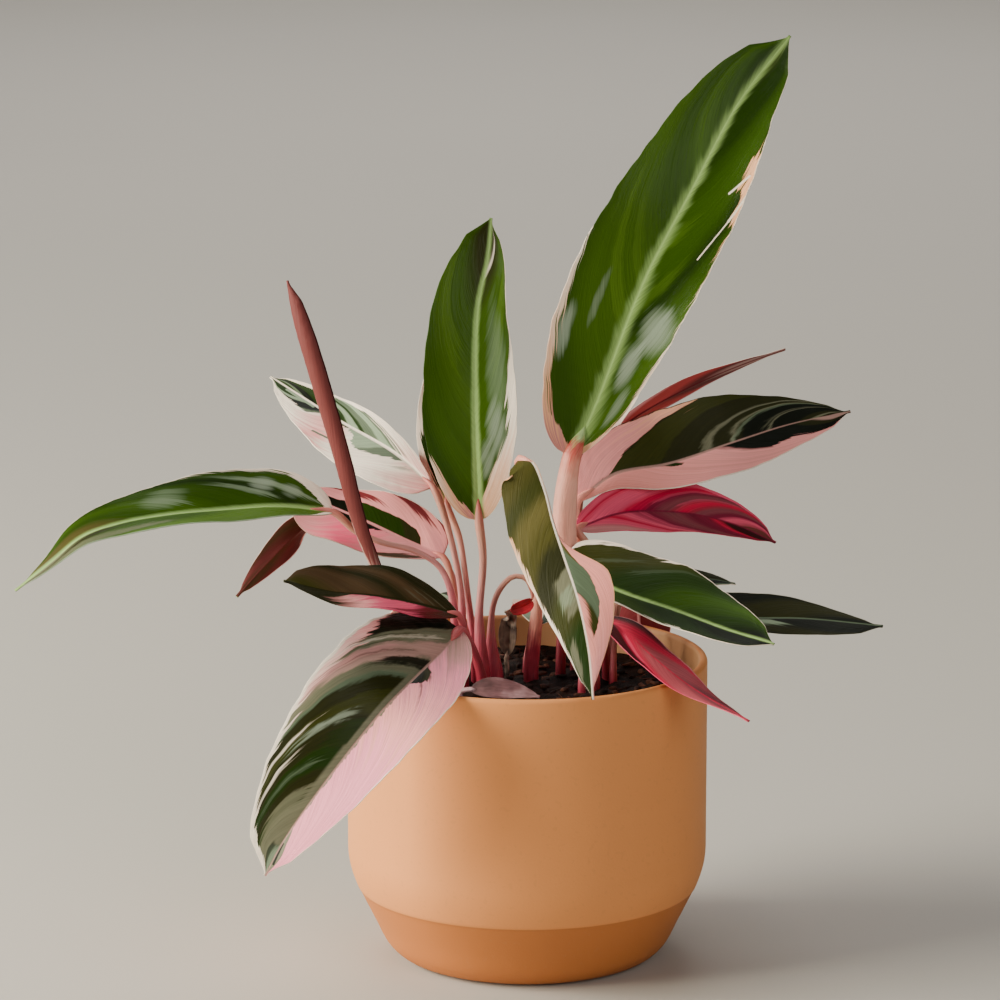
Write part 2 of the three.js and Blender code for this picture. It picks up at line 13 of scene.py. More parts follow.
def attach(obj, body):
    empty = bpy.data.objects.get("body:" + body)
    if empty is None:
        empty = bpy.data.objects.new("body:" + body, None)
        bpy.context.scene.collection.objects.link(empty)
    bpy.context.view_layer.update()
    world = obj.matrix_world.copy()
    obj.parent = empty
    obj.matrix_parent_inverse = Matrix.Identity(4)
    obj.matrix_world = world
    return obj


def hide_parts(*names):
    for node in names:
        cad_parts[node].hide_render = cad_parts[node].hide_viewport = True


bl_info = {
    "name": "Potted prayer plant",
    "version": (1, 0, 0),
    "blender": (4, 5, 0),
    "location": "3D View > Sidebar > Prayer plant",
    "description": "Makes the leaves, soil, pot and stage of a potted prayer plant",
    "category": "Add Mesh",
}

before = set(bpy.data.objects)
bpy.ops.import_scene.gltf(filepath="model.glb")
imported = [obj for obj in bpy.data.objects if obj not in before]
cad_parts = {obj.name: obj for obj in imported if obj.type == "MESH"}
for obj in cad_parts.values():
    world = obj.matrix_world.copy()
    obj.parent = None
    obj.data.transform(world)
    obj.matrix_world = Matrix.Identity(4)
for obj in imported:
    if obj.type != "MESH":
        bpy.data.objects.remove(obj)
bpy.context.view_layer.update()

MM = 0.001
BODY = "root"

# ---- Leaf forms, in millimetres ----


class Half(NamedTuple):
    """The half-blade on one side of the midrib."""

    wide: float  # largest width
    full: float  # share of the length where it is widest
    base: float  # small is blunt
    tip: float
    fold: float  # angle at the midrib, in radians
    cup: float  # further curl to the edge


class Leaf(NamedTuple):
    """The form of one leaf and its stalk."""

    name: str
    stem: list  # from just above the soil to the blade
    rib: list  # the midrib, from base to tip
    face: list  # the way the upper side looks
    left: Half
    right: Half
    wave: tuple  # height, number of waves and phase of the edge
    thick: tuple  # stalk radius at the soil, in the middle and at the blade


LEAVES = [
    Leaf(
        name="leaf_tall_right",
        stem=[(32, 4, 142), (28, 6, 168), (19, 8, 205)],
        rib=[(22, 6, 252), (34, 8, 280), (57, 12, 339), (81, 20, 384), (104, 32, 425), (130, 44, 457)],
        face=[(0.2, -1, 0.1), (-0.1, -1, 0.2)],
        left=Half(37, 0.32, 0.38, 0.57, 0.12, 0.1),
        right=Half(28.5, 0.5, 0.62, 0.55, 0.2, 0.1),
        wave=(1.5, 2.5, 0.4),
        thick=(4.2, 6, 4.8),
    ),
    Leaf(
        name="leaf_upright_centre",
        stem=[(-22, -5, 142), (-24, -7, 172), (-22, -8, 204)],
        rib=[(-24, -8, 223), (-26, -2, 279), (-25, 8, 326), (-20, 16, 350), (-18, 24, 369)],
        face=[(0.1, -1, 0.1), (0.3, -1, 0.3)],
        left=Half(28, 0.4, 0.45, 0.45, 0.15, 0.1),
        right=Half(21, 0.35, 0.5, 0.78, 0.2, 0.1),
        wave=(1.5, 2, 1.2),
        thick=(3.8, 1.9, 2.3),
    ),
    Leaf(
        name="leaf_pale_left",
        stem=[(-33, 4, 142), (-33, 4, 183), (-40, 9, 217)],
        rib=[(-47, 14, 235), (-65, 30, 248), (-95, 58, 260), (-131, 88, 277)],
        face=[(-0.2, -0.6, 1), (-0.1, -0.8, 1)],
        left=Half(27, 0.3, 0.35, 0.8, 0.15, 0.1),
        right=Half(12.5, 0.55, 0.8, 0.8, 0.2, 0.1),
        wave=(1.5, 2, 0.2),
        thick=(2.6, 1.6, 2),
    ),
    Leaf(
        name="leaf_long_left",
        stem=[(-39, -4, 142), (-36, -5, 166), (-38, -5, 186), (-44, -5, 199), (-56, -6, 207),
            (-73, -8, 212), (-85, -10, 218)],
        rib=[(-96, -12, 228), (-121, -22, 233), (-148, -34, 234), (-175, -46, 234), (-197, -56, 232),
            (-215, -63, 227), (-231, -70, 215), (-247, -76, 203)],
        face=[(-0.2, -0.9, 0.9), (-0.3, -0.9, 0.9)],
        left=Half(16, 0.45, 0.55, 0.8, 0.45, 0.1),
        right=Half(22.5, 0.22, 0.4, 1.2, 0.1, 0.1),
        wave=(1.2, 2.5, 0.6),
        thick=(2.6, 1.5, 1.9),
    ),
    Leaf(
        name="leaf_rolled_new",
        stem=[(-40, -13, 144), (-52, -15, 166), (-65, -16, 182)],
        rib=[(-71, -16, 189), (-84, -16, 219), (-95.5, -14, 260), (-107, -10, 299), (-114, -6, 323),
            (-118, -2, 342)],
        face=[(0.9, -0.5, 0.1), (0.9, -0.5, 0.1)],
        left=Half(15, 0.75, 0.3, 0.5, 0, 2.9),
        right=Half(17, 0.72, 0.3, 0.5, 0, 4.6),
        wave=(0, 1, 0),
        thick=(2.4, 1.7, 2.2),
    ),
    Leaf(
        name="leaf_low_left",
        stem=[(-31, -12, 142), (-31, -18, 160)],
        rib=[(-34, -26, 179), (-54, -36, 187), (-76, -48, 194), (-95, -58, 198), (-118, -68, 206)],
        face=[(-0.2, -0.8, 1), (-0.1, -0.8, 1)],
        left=Half(12, 0.45, 0.6, 0.8, 0.2, 0),
        right=Half(21, 0.42, 0.6, 0.55, 0.1, -0.1),
        wave=(1.2, 2, 2),
        thick=(2.2, 1.5, 1.8),
    ),
    Leaf(
        name="leaf_mid_left",
        stem=[(-26, 9, 142), (-36, 10, 182)],
        rib=[(-42, 12, 200), (-59, 18, 206), (-79, 26, 214), (-99, 34, 221), (-116, 40, 228)],
        face=[(-0.2, -0.8, 1), (-0.2, -0.8, 1)],
        left=Half(22, 0.75, 0.7, 0.45, 0.1, 0.1),
        right=Half(22, 0.3, 0.35, 0.8, 0.05, 0),
        wave=(1.2, 2, 0),
        thick=(2.2, 1.5, 1.8),
    ),
    Leaf(
        name="leaf_maroon_left",
        stem=[(-33, 15, 142), (-34, 24, 175), (-41, 38, 191), (-54, 58, 199)],
        rib=[(-73, 74, 205), (-93, 62, 215), (-112, 48, 208), (-131, 34, 192), (-146, 22, 177)],
        face=[(0.2, 0.8, 1), (0.6, 1, 0.4)],
        left=Half(9, 0.5, 0.6, 0.9, 0.1, 0.1),
        right=Half(9, 0.5, 0.6, 0.9, 0.1, 0.1),
        wave=(1, 2, 1),
        thick=(2.2, 1.4, 1.7),
    ),
    Leaf(
        name="leaf_front_left",
        stem=[(-22, -19, 142), (-26, -22, 158)],
        rib=[(-33, -28, 172), (-43, -52, 166), (-58, -82, 158), (-70, -98, 149), (-97, -114, 118),
            (-117, -118, 90), (-126, -118, 73)],
        face=[(0, -1, 0.3), (0, -1, 0.3), (0, -1, 0.3)],
        left=Half(27, 0.42, 0.7, 0.65, 0.45, 0.1),
        right=Half(38, 0.4, 0.3, 0.55, 0.1, -0.2),
        wave=(1.5, 2, 0.8),
        thick=(2.8, 2.2, 2.4),
    ),
    Leaf(
        name="leaf_front_centre",
        stem=[(2, 12, 142), (5, 3, 180), (4, -6, 224), (-3, -12, 246)],
        rib=[(-4, -18, 256), (2, -25, 256), (8, -34, 244), (12, -43, 230), (17, -54, 216),
            (24, -68, 197), (29, -82, 175), (31, -95, 154)],
        face=[(-0.2, -0.4, 1), (-0.1, -1, 0.5), (0, -1, 0.5)],
        left=Half(19, 0.57, 18, 1.5, -0.1, -0.1),
        right=Half(23, 0.3, 0.3, 0.8, -0.1, -0.1),
        wave=(1, 2, 1),
        thick=(3.8, 2, 2.4),
    ),
    Leaf(
        name="leaf_wide_right",
        stem=[(31, 21, 142), (28, 20, 188)],
        rib=[(25, 20, 226), (43, 30, 238), (72, 44, 241), (106, 60, 249), (134, 74, 255),
            (166, 88, 259)],
        face=[(0.1, -1, 0.7), (0.1, -1, 0.6)],
        left=Half(29, 0.4, 0.6, 0.95, 0.05, 0.1),
        right=Half(16, 0.56, 0.8, 0.65, -0.1, -0.1),
        wave=(1.5, 2, 0.6),
        thick=(2.6, 1.7, 2.1),
    ),
    Leaf(
        name="leaf_crimson_right",
        stem=[(40, 14, 142), (37, 15, 180), (32, 14, 203)],
        rib=[(25, 14, 214), (47, 27, 219), (83, 54, 213), (109, 70, 203), (128, 80, 192)],
        face=[(0.2, 1, -0.2), (0.3, 1, 0)],
        left=Half(11.5, 0.45, 0.5, 0.7, 0.1, 0.1),
        right=Half(16, 0.42, 0.45, 0.7, 0.1, 0.1),
        wave=(1.2, 2, 0.3),
        thick=(2.4, 1.5, 1.9),
    ),
    Leaf(
        name="leaf_low_right",
        stem=[(34, -6, 142), (24, -4, 176)],
        rib=[(15, -8, 202), (42, -26, 192), (73, -44, 185), (97, -58, 179), (119, -70, 175)],
        face=[(0.2, -0.9, 1), (0.2, -0.9, 1)],
        left=Half(28, 0.34, 0.2, 0.66, 0.1, 0),
        right=Half(22, 0.68, 0.8, 0.5, 0.5, 0.1),
        wave=(1.2, 2.5, 0),
        thick=(2.4, 1.6, 2),
    ),
    Leaf(
        name="leaf_far_right",
        stem=[(43, 6, 142), (44, 10, 162)],
        rib=[(47, 14, 176), (82, 18, 170), (110, 14, 168), (138, 8, 169), (177, -4, 168)],
        face=[(0.2, -0.8, 1), (0.2, -0.8, 1)],
        left=Half(15, 0.45, 0.5, 1.1, 0.1, 0),
        right=Half(11, 0.75, 1.3, 0.6, 0.1, 0),
        wave=(1, 2, 1),
        thick=(2.2, 1.5, 1.8),
    ),
    Leaf(
        name="leaf_small_right",
        stem=[(40, 22, 142), (43, 28, 160)],
        rib=[(48, 34, 174), (68, 48, 177), (89, 62, 177), (107, 72, 172)],
        face=[(0, -0.5, 1), (0, -0.5, 1)],
        left=Half(10, 0.45, 0.5, 0.9, 0.1, 0),
        right=Half(10, 0.45, 0.5, 0.9, 0.1, 0),
        wave=(0.6, 2, 1),
        thick=(1.8, 1.3, 1.5),
    ),
    Leaf(
        name="leaf_rim_right",
        stem=[(27, -13, 142), (29, -10, 156), (30, -8, 166)],
        rib=[(34, -9, 174), (46, -22, 172), (60, -42, 163), (80, -70, 153), (106, -94, 143)],
        face=[(0.2, -0.6, 1), (0.3, -0.5, 1)],
        left=Half(15, 0.3, 0.5, 1.1, -0.2, 0),
        right=Half(9, 0.35, 0.5, 1.1, -0.2, 0),
        wave=(1, 2, 1),
        thick=(2, 1.5, 1.8),
    ),
    Leaf(
        name="leaf_thin_right",
        stem=[(24, 28, 142), (25, 42, 194), (30, 55, 235)],
        rib=[(37, 62, 248), (58, 74, 261), (84, 90, 272), (110, 106, 280), (134, 118, 286)],
        face=[(0.2, 1, 0.4), (0.2, 1, 0.4)],
        left=Half(5.5, 0.4, 0.6, 1.3, 0.1, 0),
        right=Half(5.5, 0.4, 0.6, 1.3, 0.1, 0),
        wave=(0.5, 2, 0),
        thick=(2.2, 1.5, 1.8),
    ),
    Leaf(
        name="leaf_back_upright",
        stem=[(-26, 17, 142), (-31, 13, 191), (-34, 16, 209)],
        rib=[(-40, 22, 224), (-41, 34, 255), (-36, 46, 288), (-30, 60, 322)],
        face=[(-0.2, -1, 0.4), (0.1, -1, 0.6)],
        left=Half(16, 0.45, 0.6, 0.8, 0.15, 0.1),
        right=Half(18, 0.45, 0.6, 0.8, 0.15, 0.1),
        wave=(1.2, 2, 0.5),
        thick=(2.4, 1.5, 1.9),
    ),
    Leaf(
        name="leaf_back_tall",
        stem=[(17, 22, 142), (19, 31, 195)],
        rib=[(23, 54, 236), (37, 66, 269), (58, 84, 312), (78, 106, 353)],
        face=[(0.1, -1, 0.5), (0, -1, 0.7)],
        left=Half(22, 0.42, 0.55, 0.75, 0.12, 0.1),
        right=Half(19, 0.45, 0.6, 0.75, 0.15, 0.1),
        wave=(1.4, 2, 1.4),
        thick=(2.6, 1.7, 2.1),
    ),
    Leaf(
        name="leaf_back_low_left",
        stem=[(-18, 26, 142), (-25, 34, 157)],
        rib=[(-34, 48, 166), (-45, 74, 166), (-52, 100, 153), (-58, 124, 124), (-60, 137, 94)],
        face=[(-0.2, 0.2, 1), (-0.3, 0.6, 0.8), (-0.3, 1, 0.3)],
        left=Half(22, 0.45, 0.55, 0.75, -0.1, 0.1),
        right=Half(20, 0.45, 0.55, 0.75, 0, 0.1),
        wave=(1.2, 2, 0.9),
        thick=(2.4, 1.6, 2),
    ),
    Leaf(
        name="leaf_back_low_centre",
        stem=[(0, 30, 142), (2, 38, 151)],
        rib=[(6, 48, 156), (9, 72, 159), (12, 98, 155), (13, 124, 126), (11, 138, 92)],
        face=[(0, 0.2, 1), (0, 0.7, 0.8), (0, 1, 0.3)],
        left=Half(20, 0.45, 0.55, 0.75, 0.1, 0.1),
        right=Half(22, 0.45, 0.55, 0.75, 0.1, 0.1),
        wave=(1.2, 2.5, 0.3),
        thick=(2.4, 1.6, 2),
    ),
    Leaf(
        name="leaf_back_low_right",
        stem=[(30, 35, 142), (37, 42, 158)],
        rib=[(44, 50, 168), (54, 78, 168), (58, 104, 156), (60, 122, 128), (60, 130, 98)],
        face=[(0.1, 0.2, 1), (0.2, 0.7, 0.8), (0.2, 1, 0.3)],
        left=Half(21, 0.45, 0.55, 0.75, 0.1, 0.1),
        right=Half(19, 0.45, 0.55, 0.75, 0, 0.1),
        wave=(1.2, 2, 1.8),
        thick=(2.4, 1.6, 2),
    ),
    Leaf(
        name="leaf_withered",
        stem=[(-16, 2, 142), (-18, 0, 160), (-17, -2, 178), (-13, -4, 188), (-7, -4, 193.5),
            (-1, -4, 192.5), (2, -5, 187)],
        rib=[(2.5, -6, 181.5), (-2, -8, 179), (-8.5, -10, 177.5)],
        face=[(0.2, -1, 0.1), (0.2, -1, 0.1)],
        left=Half(3.8, 0.5, 0.3, 0.3, 0.2, 0.3),
        right=Half(3.8, 0.5, 0.3, 0.3, 0.2, 0.3),
        wave=(0.6, 1, 0),
        thick=(4.2, 1.5, 1.2),
    ),
    Leaf(
        name="leaf_dead_upright",
        stem=[(-10, 14, 142), (-10.5, 13, 146)],
        rib=[(-10, 11, 150), (-8.5, 9.5, 161), (-8, 7, 170), (-11, 3, 174)],
        face=[(-0.3, -1, 0.2), (-0.6, -1, 0.8)],
        left=Half(6, 0.5, 0.4, 0.5, 0.3, 0.5),
        right=Half(6, 0.5, 0.4, 0.5, 0.3, 0.5),
        wave=(0.5, 1, 0),
        thick=(1.6, 1.2, 1.2),
    ),
    Leaf(
        name="leaf_dead_fallen",
        stem=[(-33, -29, 141), (-31, -30, 142)],
        rib=[(-28, -31, 142.5), (-18, -33, 143), (-6, -34, 142), (6, -36, 140)],
        face=[(0, -1, 0.6), (0, -1, 1)],
        left=Half(6.5, 0.35, 0.5, 0.8, 0, 0.2),
        right=Half(4.5, 0.35, 0.5, 0.8, 0, 0.2),
        wave=(0.6, 1, 0),
        thick=(1.6, 1.3, 1.3),
    ),
]

SOIL_TOP = 136
ROOTING_DEPTH = 12  # how far a stalk stands in the soil
NARROWEST = 0.8  # least half-width of a blade
NICK_PITCHES = (2.1, 3.7, 6.1)  # of the edge's uneven waves, in mm a radian
NICK_DEPTH = 0.035  # share of the width
SIDE_PHASE = 1.9  # how far the right edge's waves are out of step with the left edge's
STALK_OVERLAP = 0.07  # share of the midrib that the stalk runs along
ROW_GATHER = 0.07  # how far the rows of faces crowd towards base and tip
POINT_LENGTH = 0.07  # share of the midrib along which a blade narrows to its point
POINT_SHARPNESS = 0.6  # power of that narrowing
ROW_LENGTH = 2.0  # length of blade that one row of faces covers
SHEET = 0.8  # thickness of a blade at its midrib
SHEET_TAPER = 0.45  # how much thinner it is at the edge
VEIN_SPACING = 6.5
VEIN_HEIGHT = 0.09
VEIN_SWEEP = 0.2  # how far a side vein runs towards the tip on its way to the edge
VEIN_CURL = 0.25  # how much further it bends near the edge
VEIN_RISE = (0, 0.25)  # shares of the half-width over which the veins' relief begins
VEIN_END = (0.85, 1)  # and ends
VEIN_WIDTHS = (3, 9)  # half-widths over which the relief comes in
GROOVE_DEPTH = 0.3  # of the midrib on the upper side, at the blade's base
GROOVE_WIDTH = 1.1
RIDGE_BASE = 0.75  # how much higher the midrib stands out below at the base than at the tip
RIDGE_TIP = 0.1
RIDGE_WIDTH = 0.9
RIDGE_START = 0.05  # share of the midrib over which it rises
SHEATH = (0.15, 0.55)  # shares of the stalk over which the sheath thins to the stem
KNEE = (0.7, 0.9)  # and the stem thickens to the knee
STALK_END = 0.1  # share of the stalk in which it narrows into the blade
STALK_SIDES = 16
STALK_STEP = 3.0
# Where the faces of a half-blade lie between midrib and edge.
COLUMNS = (0, 0.02, 0.045, 0.08, 0.13, 0.2, 0.28, 0.36, 0.44, 0.52, 0.6, 0.68, 0.76, 0.83, 0.89, 0.94, 0.975,
    0.992, 1)

# ---- Numbers and curves ----


def linear(code):
    """The linear colour of a display colour written as 0xRRGGBB."""
    parts = [(code >> shift & 255) / 255 for shift in (16, 8, 0)]
    return tuple(p / 12.92 if p < 0.04045 else ((p + 0.055) / 1.055) ** 2.4 for p in parts)


def unit(vectors):
    return vectors / np.maximum(np.linalg.norm(vectors, axis=-1, keepdims=True), 1e-9)


def smooth(x, low, high):
    x = np.clip((x - low) / (high - low), 0, 1)
    return x * x * (3 - 2 * x)


class Spine:
    """A smooth curve through points, walked by its own length from 0 to 1."""

    FINE = np.linspace(0, 1, 401)

    def __init__(self, points):
        points = np.array(points, float)
        first, last = 2 * points[0] - points[1], 2 * points[-1] - points[-2]
        self.points = np.vstack([first, points, last])
        self.spans = len(points) - 1
        self.gaps = np.sqrt(np.linalg.norm(np.diff(self.points, axis=0), axis=1))
        steps = np.linalg.norm(np.diff(self.raw(self.FINE), axis=0), axis=1)
        self.run = np.concatenate([[0], np.cumsum(steps)])
        self.length = self.run[-1]

    def raw(self, x):
        x = np.atleast_1d(x) * self.spans
        i = np.clip(np.floor(x).astype(int), 0, self.spans - 1)
        w = (x - i)[:, None]
        p0, p1, p2, p3 = (self.points[i + k] for k in range(4))
        g0, g1, g2 = (self.gaps[i + k][:, None] for k in range(3))
        m1 = ((p1 - p0) / g0 - (p2 - p0) / (g0 + g1) + (p2 - p1) / g1) * g1
        m2 = ((p2 - p1) / g1 - (p3 - p1) / (g1 + g2) + (p3 - p2) / g2) * g1
        return p1 + m1 * w + (3 * (p2 - p1) - 2 * m1 - m2) * w**2 + (2 * (p1 - p2) + m1 + m2) * w**3

    def inner(self, t):
        return np.interp(np.atleast_1d(t) * self.length, self.run, self.FINE)

    def at(self, t):
        return self.raw(self.inner(t))

    def tangent(self, t):
        x = self.inner(t)
        return unit(self.raw(np.minimum(x + 1e-4, 1)) - self.raw(np.maximum(x - 1e-4, 0)))


# ---- Mesh code ----


def swell(t, full, base, tip):
    """The outline of a half-blade: 0 at both ends of the midrib and 1 where it is widest."""
    rise = np.sin(np.pi / 2 * np.clip(t / full, 0, 1)) ** base
    point = np.clip((1 - t) / POINT_LENGTH, 0, 1) ** POINT_SHARPNESS
    fall = point * np.clip(np.cos(np.pi / 2 * np.clip((t - full) / (1 - full), 0, 1)), 0, 1) ** tip
    return np.where(t < full, rise, fall)


def vein_drift(reach):
    """How far along the midrib a side vein has run when it is at a share of the half-width."""
    return reach * VEIN_SWEEP + reach * reach * reach * VEIN_CURL


def edge_nicks(run, phase):
    """How far the edge falls back from its smooth outline, as a share of the width."""
    waves = sum(np.sin(run / pitch + phase * (k + 1)) for k, pitch in enumerate(NICK_PITCHES))
    return NICK_DEPTH * (0.5 + waves / (2 * len(NICK_PITCHES)))


def blade_sheet(leaf, t, u):
    """The middle sheet of a blade: points and widths for t along the midrib and u across."""
    rib = Spine(leaf.rib)
    tangent = rib.tangent(t)
    faces = np.array(leaf.face, float)
    marks = np.linspace(0, 1, len(faces))
    face = np.stack([np.interp(t, marks, faces[:, k]) for k in range(3)], 1)
    face = unit(face - tangent * (face * tangent).sum(1, keepdims=True))
    side = np.cross(tangent, face)
    centre = rib.at(t)
    height, count, phase = leaf.wave
    points = np.zeros((len(t), len(u), 3))
    widths = np.zeros((len(t), len(u)))
    for j, across in enumerate(u):
        half = leaf.left if across < 0 else leaf.right
        reach = abs(across)
        shift = 0 if across < 0 else SIDE_PHASE
        nicks = edge_nicks(t * rib.length, phase + shift)
        width = np.maximum(NARROWEST, half.wide * swell(t, half.full, half.base, half.tip) * (1 - nicks))
        if abs(half.cup) > 1e-6:
            out = (math.sin(half.fold + half.cup * reach) - math.sin(half.fold)) / half.cup
            up = (math.cos(half.fold) - math.cos(half.fold + half.cup * reach)) / half.cup
        else:
            out, up = math.cos(half.fold) * reach, math.sin(half.fold) * reach
        ruffle = height * reach**2 * np.sin(np.pi * t) * np.sin(2 * np.pi * count * t + phase + shift)
        points[:, j] = centre + side * (np.sign(across) * out * width)[:, None]
        points[:, j] += face * (up * width + ruffle)[:, None]
        widths[:, j] = width
    return points, widths, rib.length


def blade_mesh(leaf):
    """Vertices, faces, two sets of face-corner places and face materials of a blade."""
    length = Spine(leaf.rib).length
    rows = max(24, round(length / ROW_LENGTH))
    x = np.linspace(0, 1, rows + 1)
    t = x - ROW_GATHER * np.sin(2 * np.pi * x)
    u = np.array([-c for c in COLUMNS[:0:-1]] + list(COLUMNS))
    points, widths, length = blade_sheet(leaf, t, u)
    normals = unit(np.cross(np.gradient(points, axis=1), np.gradient(points, axis=0)))
    reach = np.abs(u)[None, :]
    along = t[:, None]
    off = reach * widths  # distance from the midrib
    veins = max(8, round(length / VEIN_SPACING))
    ripple = VEIN_HEIGHT * np.cos(2 * np.pi * veins * (along - vein_drift(reach)))
    ripple = ripple * smooth(reach, *VEIN_RISE) * (1 - smooth(reach, *VEIN_END))
    ripple = ripple * smooth(widths, *VEIN_WIDTHS)
    groove = GROOVE_DEPTH * np.exp(-((off / GROOVE_WIDTH) ** 2)) * (1 - along)
    ridge = (RIDGE_BASE * (1 - along) + RIDGE_TIP) * np.exp(-((off / RIDGE_WIDTH) ** 2))
    ridge = ridge * smooth(along, 0, RIDGE_START)
    thick = SHEET - SHEET_TAPER * reach**3
    upper = points + normals * (thick / 2 + ripple - groove)[..., None]
    lower = points - normals * (thick / 2 - ripple + ridge)[..., None]
    vertices = np.concatenate([upper.reshape(-1, 3), lower.reshape(-1, 3)])
    columns = len(u)
    count = (rows + 1) * columns
    faces, slots = [], []
    for i in range(rows):
        for j in range(columns - 1):
            a = i * columns + j
            faces.append((a, a + 1, a + columns + 1, a + columns))
            faces.append((count + a, count + a + columns, count + a + columns + 1, count + a + 1))
            slots += [0, 1]
        a, b = i * columns, (i + 1) * columns - 1
        faces.append((a, a + columns, count + a + columns, count + a))
        faces.append((b, count + b, count + b + columns, b + columns))
        slots += [0, 0]
    for j in range(columns - 1):
        last = rows * columns + j
        faces.append((j, count + j, count + j + 1, j + 1))
        faces.append((last, last + 1, count + last + 1, count + last))
        slots += [0, 0]
    places = np.stack(np.broadcast_arrays(0.5 + u[None, :] / 2, along), -1).reshape(-1, 2)
    grain = np.stack([np.sign(u)[None, :] * off / 10, np.broadcast_to(along * length / 10, off.shape)], -1)
    return vertices, faces, np.tile(places, (2, 1)), np.tile(grain.reshape(-1, 2), (2, 1)), slots


def stalk_radius(leaf, s):
    """A stout sheath in the soil, a thinner stem, and a thicker knee where the blade begins."""
    soil, middle, blade = leaf.thick
    radius = soil + (middle - soil) * smooth(s, *SHEATH)
    radius = radius + (blade - middle) * smooth(s, *KNEE)
    end = np.clip((s - KNEE[1]) / STALK_END, 0, 1)
    return radius + (SHEET / 2 - radius) * end**1.5


def stalk_mesh(leaf):
    rib = Spine(leaf.rib)
    x, y, _ = leaf.stem[0]
    ends = [rib.at(0)[0], rib.at(STALK_OVERLAP)[0]]
    path = Spine([(x, y, SOIL_TOP - ROOTING_DEPTH), (x, y, SOIL_TOP + 1), *leaf.stem, *ends])
    steps = max(12, round(path.length / STALK_STEP))
    s = np.linspace(0, 1, steps + 1)
    centres, tangents = path.at(s), path.tangent(s)
    radii = stalk_radius(leaf, s)
    normal = unit(np.cross(tangents[0], (0.3, 1.0, 0.1)))
    vertices, places, grain = [], [], []
    for i in range(steps + 1):
        normal = unit(normal - tangents[i] * normal.dot(tangents[i]))
        other = np.cross(tangents[i], normal)
        for k in range(STALK_SIDES + 1):
            turn = 2 * np.pi * k / STALK_SIDES
            vertices.append(centres[i] + radii[i] * (math.cos(turn) * normal + math.sin(turn) * other))
            places.append((k / STALK_SIDES, s[i]))
            grain.append((turn * radii[i] / 10, s[i] * path.length / 10))
    ring = STALK_SIDES + 1
    faces = []
    for i in range(steps):
        for k in range(STALK_SIDES):
            a = i * ring + k
            faces.append((a, a + 1, a + ring + 1, a + ring))
    faces.append(tuple(range(STALK_SIDES - 1, -1, -1)))
    faces.append(tuple(steps * ring + k for k in range(STALK_SIDES)))
    return np.array(vertices), faces, np.array(places), np.array(grain), [2] * len(faces)


def make_object(name, vertices, faces, slots=(), materials=(), layers=()):
    """A smooth-shaded mesh object. vertices are in millimetres; layers are (name, places) by vertex."""
    mesh = bpy.data.meshes.new(name)
    mesh.from_pydata((np.asarray(vertices) * MM).tolist(), [], faces)
    for material in materials:
        mesh.materials.append(material)
    if len(slots):
        mesh.polygons.foreach_set("material_index", np.array(slots, np.int32))
    corners = np.zeros(len(mesh.loops), np.int32)
    mesh.loops.foreach_get("vertex_index", corners)
    for layer_name, places in layers:
        layer = mesh.uv_layers.new(name=layer_name)
        layer.data.foreach_set("uv", np.asarray(places, np.float32)[corners].ravel())
    mesh.polygons.foreach_set("use_smooth", np.ones(len(mesh.polygons), bool))
    mesh.validate()
    mesh.update()
    piece = bpy.data.objects.new(name, mesh)
    bpy.context.collection.objects.link(piece)
    return piece


def place_piece(piece, nodes=()):
    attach(piece, BODY)
    if nodes:
        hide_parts(*nodes)


def joined(*parts):
    """One set of mesh arrays from several."""
    vertices, faces, places, grain, slots = [], [], [], [], []
    start = 0
    for part in parts:
        vertices.append(part[0])
        faces += [tuple(start + v for v in face) for face in part[1]]
        places.append(part[2])
        grain.append(part[3])
        slots += part[4]
        start += len(part[0])
    return np.concatenate(vertices), faces, np.concatenate(places), np.concatenate(grain), slots


def leaf_object(leaf, materials):
    vertices, faces, places, grain, slots = joined(blade_mesh(leaf), stalk_mesh(leaf))
    layers = (("blade", places), ("grain", grain))
    return make_object(leaf.name + "_fine", vertices, faces, slots, materials, layers)


# ---- Leaf markings ----
# A marking lies at t along the midrib and r from the midrib (0) to the edge (1). bands are tones that
# follow the side veins, each from the place s where its vein leaves the midrib. They reach out to
# edge(t), and the margin beyond has the tones of rim(t). hem is the outermost line of the margin.
# patches lie between two veins, and between two distances r from the midrib.

TONES = {
    "green": 0x2F4A08,
    "sedge": 0x3C5A0C,
    "leaf": 0x46650C,
    "deep": 0x1C3006,
    "bright": 0x6C9028,
    "olive": 0x45421A,
    "moss": 0x33360F,
    "umber": 0x26270E,
    "bark": 0x54402A,
    "black": 0x0E1208,
    "ash": 0x6E6E58,
    "grey": 0x586650,
    "sage": 0x8A9C80,
    # frost is mostly used as the colour of painted reflections, the pale sheen of the lamps on the leaves
    "frost": 0x98A692,
    "cream": 0xFBEBD8,
    "peach": 0xF6B88C,
    "pink": 0xF8A4A0,
    "salmon": 0xFFA296,
    "rose": 0xD48A8C,
    "clay": 0xA8686A,
    "dusk": 0xB08A80,
    "hot": 0xE85878,
    "lilac": 0xF494A8,
    "mauve": 0x84404A,
    "dusty": 0xAE4E58,
    "maroon": 0x6A1A22,
    "brown": 0x6E3634,
    "wine": 0x380C12,
    "plum": 0x7C1A38,
    "brick": 0xC04C48,
    "crimson": 0xCC1C44,
    "lichen": 0x565028,
    "pale": 0x9CBE70,
}


class Side(NamedTuple):
    """The markings of one half-blade."""

    bands: tuple
    edge: tuple = ((0, 1.2),)
    rim: tuple = ((0, "cream"),)
    hem: tuple = ("cream", 0.985)
    spots: tuple = ()  # (tone, strength, t, r, half-length, half-breadth)
    # the next field holds painted reflections of the lamps' sheen, laid out as spots but with a soft outline
    painted_sheens: tuple = ()  # the same, with a soft outline
    lines: tuple = ()  # (tone, t, r, to t, to r, half-width in mm)
    patches: tuple = ()  # (tone, strength, from s, to s, from r, to r)
    sweep: float = 1.0
    jag: float = 0.3
    blur: float = 0.006  # half-length over which one band turns into the next
    waver: float = 0.1  # how far the bands' ends stray


